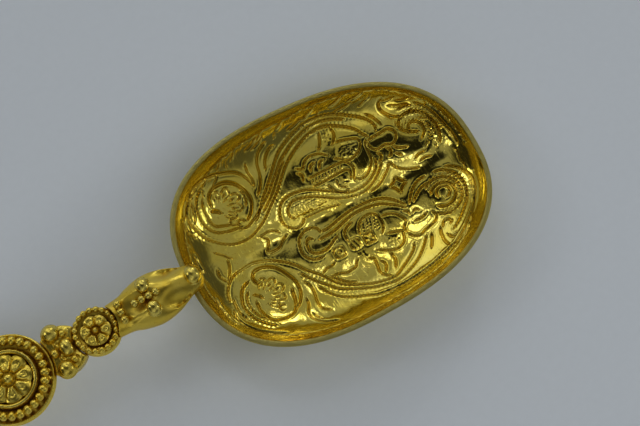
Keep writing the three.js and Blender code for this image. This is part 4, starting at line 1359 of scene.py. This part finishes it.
class SPOON_OT_links(bpy.types.Operator):
    """Makes the two links between the roundels"""
    bl_idname = "spoon.links"
    bl_label = "Links"

    ROUNDEL_GAP = 0.05
    # How far the oval of a link would run past its ends, were it not cut by the roundels.
    OVERRUN = 1.6

    def execute(self, context):
        large_low, large_high = extent_mm("large_roundel", HANDLE)
        for end, place in ENDS.items():
            low, high = extent_mm(f"{end}_link", place)
            small_low, small_high = extent_mm(f"{end}_small_roundel", place)
            large_radius = (large_high.x - large_low.x) / 2 + self.ROUNDEL_GAP
            small_radius = (small_high.x - small_low.x) / 2 + self.ROUNDEL_GAP
            small_x = (small_low.x + small_high.x) / 2
            half_width = (high.y - low.y) / 2
            centre_x = (large_radius + small_x - small_radius) / 2
            half_length = (small_x - small_radius - large_radius) / 2 + self.OVERRUN
            thick = high.z - low.z
            bm = bmesh.new()
            bmesh.ops.create_grid(bm, x_segments=44, y_segments=64, size=1.0)
            boundary = {vertex for edge in bm.edges if edge.is_boundary for vertex in edge.verts}
            plan = {}
            for vertex in bm.verts:
                across = sin(vertex.co.y * pi / 2)
                y = half_width * across
                reach = half_length * sqrt(max(1 - across**2, 0))
                left = max(sqrt(max(large_radius**2 - y * y, 0)), centre_x - reach)
                right = min(small_x - sqrt(max(small_radius**2 - y * y, 0)), centre_x + reach)
                x = left + (right - left) * (vertex.co.x + 1) / 2
                plan[vertex] = (x, y)
            for vertex, (x, y) in plan.items():
                inward = min((1 - abs(vertex.co.y)) * 2.2, (1 - abs(vertex.co.x)) * 1.4, 0.35) / 0.35
                z = -0.3 * (1 - sqrt(max(1 - (1 - inward)**2, 0)))
                # Leaf curls beside each pearl, and the beads next to the large roundel.
                side = abs(y)
                for curl_x, curl_y, size in ((centre_x + 0.9, 2.1, 0.75), (centre_x - 0.1, 1.05, 0.6)):
                    reach = hypot(x - curl_x, side - curl_y) / size
                    z += 0.26 * exp(-((reach - 0.8) / 0.3)**2)
                vertex.co = (x, y, min(z, 0.3) if vertex not in boundary else -0.3)
            edges = [edge for edge in bm.edges if edge.is_boundary]
            made = bmesh.ops.extrude_edge_only(bm, edges=edges)["geom"]
            for vertex in made:
                if isinstance(vertex, bmesh.types.BMVert):
                    vertex.co.z = -thick
            open_edges = [edge for edge in made if isinstance(edge, bmesh.types.BMEdge)]
            bmesh.ops.contextual_create(bm, geom=open_edges)
            bmesh.ops.remove_doubles(bm, verts=bm.verts, dist=1e-4)
            split_wide_faces(bm)
            for bead_x, bead_y, size in ((large_radius + 0.75, 0, 0.62), (large_radius + 2.9, 2.0, 0.55),
                                         (large_radius + 2.9, -2.0, 0.55)):
                bead = bmesh.new()
                bmesh.ops.create_uvsphere(bead, u_segments=28, v_segments=18, radius=size,
                                          matrix=Matrix.Translation((bead_x, bead_y, 0.12)))
                merge_bmesh(bm, bead)
            finish_piece(f"{end}_link_plate", bm, placed(place, (0, 0, high.z - 0.02)), satin_gilt(),
                         [f"{end}_link"])
        return {"FINISHED"}


class SPOON_OT_shaft(bpy.types.Operator):
    """Makes the twisted shaft"""
    bl_idname = "spoon.shaft"
    bl_label = "Twisted Shaft"

    START_RADIUS = 1.6
    END_RADIUS = 1.25
    TURNS = 2.5
    FLUTES = 4
    STEPS = 260
    NOTCH_PITCH = 0.62
    # The flutes run out over this length at each end.
    RUN_OUT = 3.6

    def execute(self, context):
        low, high = extent_mm("twisted_shaft", HANDLE)
        length = high.x - low.x
        bm = bmesh.new()
        ring = Matrix.Rotation(pi / 2, 4, "Y")
        circle = bmesh.ops.create_circle(bm, cap_ends=False, segments=72, radius=1.0, matrix=ring)
        edges = list({edge for vertex in circle["verts"] for edge in vertex.link_edges})
        bmesh.ops.spin(bm, geom=circle["verts"] + edges, cent=(0, 0, 0), axis=(1, 0, 0),
                       dvec=(length / self.STEPS, 0, 0), angle=0.0, steps=self.STEPS, use_duplicate=False)
        bmesh.ops.holes_fill(bm, edges=[edge for edge in bm.edges if edge.is_boundary])
        split_wide_faces(bm)

        def shape(x, y, z):
            along = 1 - x / length
            turn = atan2(z, y)
            wind = 2 * pi * self.TURNS * along
            fade = min(along * length / self.RUN_OUT, (1 - along) * length / self.RUN_OUT, 1)
            phase = (self.FLUTES * turn - wind) / (2 * pi) % 1
            hollow = abs(cos(pi * phase))**2.6
            wire = swelling(min(phase, 1 - phase), 0, 0.055)
            notch = 0.5 + 0.5 * sin(x * 2 * pi / self.NOTCH_PITCH)
            cut = 0.17 * hollow - 0.095 * wire * (0.72 + 0.28 * notch)
            radius = self.START_RADIUS + (self.END_RADIUS - self.START_RADIUS) * along
            collar = 0.06 * swelling((1 - along) * length, 0, 0.5)
            reach = radius * (1 - fade * cut + collar)
            return Vector((x + low.x, reach * cos(turn), reach * sin(turn)))
        sculpt(bm, shape)
        finish_piece("twisted_shaft_drawn", bm, placed(HANDLE, (0, 0, 0)), satin_gilt(),
                     ["twisted_shaft"])
        return {"FINISHED"}


class SPOON_OT_knop(bpy.types.Operator):
    """Makes the flattened knop"""
    bl_idname = "spoon.knop"
    bl_label = "Knop"

    FLATNESS = 0.62
    NECK = 1.25

    def execute(self, context):
        low, high = extent_mm("knop", HANDLE)
        length, widest = high.x - low.x, (high.y - low.y) / 2
        rough = [
            (0, self.NECK),
            (0.5, self.NECK * 1.28),
            (0.95, self.NECK * 1.3),
            (1.35, self.NECK * 1.05),
            (length * 0.34, widest * 0.78),
            (length * 0.6, widest),
            (length * 0.86, widest * 0.76),
            (length * 0.97, widest * 0.34),
            (length, 0),
        ]
        curve = smooth_path(rough, 0.1)
        outline = [(0, 0)] + [(radius, along) for along, radius in curve if radius > 0.02] + [(0, length)]
        bm = turned_bmesh(outline, 120)
        bmesh.ops.rotate(bm, cent=(0, 0, 0), matrix=Matrix.Rotation(-pi / 2, 3, "Y"), verts=bm.verts)

        def shape(x, y, z):
            along = -x / length
            turn = atan2(z, y)
            body = smooth_step(0.18, 0.34, along) * (1 - smooth_step(0.9, 1.0, along))
            gadroon = abs(sin(4 * turn + 3.0 * along))**0.6
            pull = 1 - 0.07 * body * (1 - gadroon)
            flat = 0.98 - (1 - self.FLATNESS) * smooth_step(0.1, 0.45, along)
            return Vector((x, y * pull, z * pull * flat))
        sculpt(bm, shape)
        finish_piece("knop_cast", bm, placed(HANDLE, (high.x, 0, 0)), polished_gilt(),
                     ["knop"])
        return {"FINISHED"}


TENT_LIGHT = 0.27
# Share of the tent's light that its darkest places lose.
DEEPEST_SHADE = 0.93
# Dark places of the tent: direction in the bowl's frame, reach and soft edge in degrees, share of the
# deepest shade.
DIM_PATCHES = [
    ((-0.20, -0.06, 0.97), 10, 9, 1.0),
    ((-0.42, 0.22, 0.87), 11, 9, 1.0),
    ((0.15, -0.96, 0.22), 16, 24, 0.7),
    ((-0.97, 0.05, 0.20), 18, 16, 0.95),
    ((0.97, 0.10, 0.20), 13, 16, 0.75),
]
# Bright places of the tent: direction in the bowl's frame, reach and soft edge in degrees, strength.
BRIGHT_PATCHES = [
    ((0.30, 0.16, 0.94), 3, 9, 0.14),
    ((-0.22, -0.72, 0.66), 5, 14, 0.25),
    ((-0.80, 0.45, 0.42), 4, 5, 3.2),
    ((0.50, 0.75, 0.42), 4, 5, 3.2),
    ((0.86, -0.25, 0.45), 4, 5, 2.6),
    ((-0.60, -0.70, 0.38), 3, 5, 1.1),
    ((-0.10, 0.85, 0.42), 8, 16, 0.55),
]
# Lights: name, direction in the bowl's frame, distance and size in metres, power in watts, and whether
# the gold mirrors it.
LIGHTS = [
    ("key", (0.05, 0.46, 0.885), 0.6, (0.12, 0.09), 0.06, True),
    ("side", (-0.15, 0.61, 0.77), 0.6, (0.06, 0.09), 0.04, True),
    ("ceiling", (0.25, -0.55, 0.80), 0.9, (1.0, 0.8), 1.35, False),
]


class SPOON_OT_stage(bpy.types.Operator):
    """Sets up the paper floor, the soft lights and the camera"""
    bl_idname = "spoon.stage"
    bl_label = "Stage"

    FLOOR_HALF_SIZE = 1.5
    # The point the camera looks at, in the bowl's frame.
    AIM = Vector((-1.98 * MM, 0.252 * MM, 0))

    def make_floor(self, context):
        bm = bmesh.new()
        bmesh.ops.create_grid(bm, x_segments=2, y_segments=2, size=self.FLOOR_HALF_SIZE)
        mesh = bpy.data.meshes.new("floor")
        bm.to_mesh(mesh)
        bm.free()
        floor = bpy.data.objects.new("floor", mesh)
        context.scene.collection.objects.link(floor)
        material = bpy.data.materials.new("Paper")
        material.use_nodes = True
        tree = material.node_tree
        shader = tree.nodes["Principled BSDF"]
        shader.inputs["Roughness"].default_value = 0.8
        place = tree.nodes.new("ShaderNodeTexCoord").outputs["Object"]
        grain = add_noise(tree, place, 900.0, 4.0)
        colour = context.scene.spoon_stage.floor_colour
        darker = [value * 0.96 for value in colour]
        tree.links.new(add_mix(tree, grain, opaque(darker), opaque(colour)), shader.inputs["Base Color"])
        bump = add_node(tree, "ShaderNodeBump", {"Height": grain, "Distance": 0.01 * MM})
        tree.links.new(bump.outputs["Normal"], shader.inputs["Normal"])
        mesh.materials.append(material)

    def add_light(self, context, name, direction, distance, size, power, in_gloss):
        """An area light that looks at the bowl from a direction of the bowl's frame."""
        light = bpy.data.lights.new(name, "AREA")
        light.shape = "RECTANGLE"
        light.size, light.size_y = size
        light.energy = power
        holder = bpy.data.objects.new(name, light)
        direction = (BOWL.to_3x3() @ Vector(direction)).normalized()
        holder.location = BOWL_ORIGIN + direction * distance
        holder.rotation_euler = direction.to_track_quat("Z", "Y").to_euler()
        holder.visible_glossy = in_gloss
        context.scene.collection.objects.link(holder)

    def make_world(self, context):
        world = bpy.data.worlds.new("Studio")
        world.use_nodes = True
        tree = world.node_tree
        background = tree.nodes["Background"]
        way = tree.nodes.new("ShaderNodeTexCoord").outputs["Generated"]

        def patch(direction, reach, edge):
            """1 round a direction of the bowl's frame and 0 outside it; both angles are in degrees."""
            unit = (BOWL.to_3x3() @ Vector(direction)).normalized()
            dot = add_node(tree, "ShaderNodeVectorMath", {0: way, 1: unit}, operation="DOT_PRODUCT")
            return add_ramp(tree, dot.outputs["Value"], cos(radians(reach + edge)), cos(radians(reach)))

        # An even white tent, open where the camera and its holder stand dark over the bowl.
        shade = patch((0.04, 0.0, 1.0), 9, 11)
        for direction, reach, edge, share in DIM_PATCHES:
            dim = add_math(tree, "MULTIPLY", patch(direction, reach, edge), share)
            shade = add_math(tree, "MAXIMUM", shade, dim)
        tent = add_math(tree, "MULTIPLY_ADD", shade, -DEEPEST_SHADE * TENT_LIGHT, TENT_LIGHT)
        for direction, reach, edge, strength in BRIGHT_PATCHES:
            tent = add_math(tree, "MULTIPLY_ADD", patch(direction, reach, edge), strength, tent)
        tree.links.new(tent, background.inputs["Strength"])
        background.inputs["Color"].default_value = (0.95, 0.98, 1.0, 1.0)
        context.scene.world = world

    def make_camera(self, context):
        stage = context.scene.spoon_stage
        right = Vector((cos(stage.heading), -sin(stage.heading), 0))
        ahead = Vector((sin(stage.heading), cos(stage.heading), 0))
        up = ahead * sin(stage.elevation) + Vector((0, 0, cos(stage.elevation)))
        back = Vector((0, 0, sin(stage.elevation))) - ahead * cos(stage.elevation)
        rolled_right = right * cos(stage.roll) + up * sin(stage.roll)
        rolled_up = up * cos(stage.roll) - right * sin(stage.roll)
        turn = Matrix((rolled_right, rolled_up, back)).transposed().to_4x4()
        camera = bpy.data.objects.new("camera", bpy.data.cameras.new("camera"))
        camera.matrix_world = BOWL @ Matrix.Translation(self.AIM + back * stage.distance) @ turn
        camera.data.lens = stage.lens
        camera.data.sensor_width = 36
        camera.data.clip_start = 0.01
        context.scene.collection.objects.link(camera)
        context.scene.camera = camera

    def execute(self, context):
        self.make_floor(context)
        self.make_world(context)
        for light in LIGHTS:
            self.add_light(context, *light)
        self.make_camera(context)
        context.scene.view_settings.view_transform = "Standard"
        context.scene.view_settings.look = "Medium High Contrast"
        return {"FINISHED"}


# ---- The add-on's panel and registration ----
OPERATORS = [
    SPOON_OT_stage, SPOON_OT_bowl, SPOON_OT_heads, SPOON_OT_bosses, SPOON_OT_beading, SPOON_OT_roundels,
    SPOON_OT_rosettes, SPOON_OT_links, SPOON_OT_shaft, SPOON_OT_knop,
]
SETTINGS = {"spoon_gilt": SpoonGilt, "spoon_engraving": SpoonEngraving, "spoon_stage": SpoonStage}


class SPOON_PT_panel(bpy.types.Panel):
    bl_idname = "SPOON_PT_panel"
    bl_label = "Gilt Anointing Spoon"
    bl_space_type = "VIEW_3D"
    bl_region_type = "UI"
    bl_category = "Spoon"

    def draw(self, context):
        for operator in OPERATORS:
            self.layout.operator(operator.bl_idname)
        for name, group in SETTINGS.items():
            box = self.layout.box()
            for setting in group.__annotations__:
                box.prop(getattr(context.scene, name), setting)


def register():
    for made in [*SETTINGS.values(), *OPERATORS, SPOON_PT_panel]:
        bpy.utils.register_class(made)
    for name, group in SETTINGS.items():
        setattr(bpy.types.Scene, name, PointerProperty(type=group))


def unregister():
    for name in SETTINGS:
        delattr(bpy.types.Scene, name)
    for made in reversed([*SETTINGS.values(), *OPERATORS, SPOON_PT_panel]):
        bpy.utils.unregister_class(made)


def main():
    register()
    for operator in OPERATORS:
        group, name = operator.bl_idname.split(".")
        getattr(getattr(bpy.ops, group), name)()


if __name__ == "__main__":
    main()
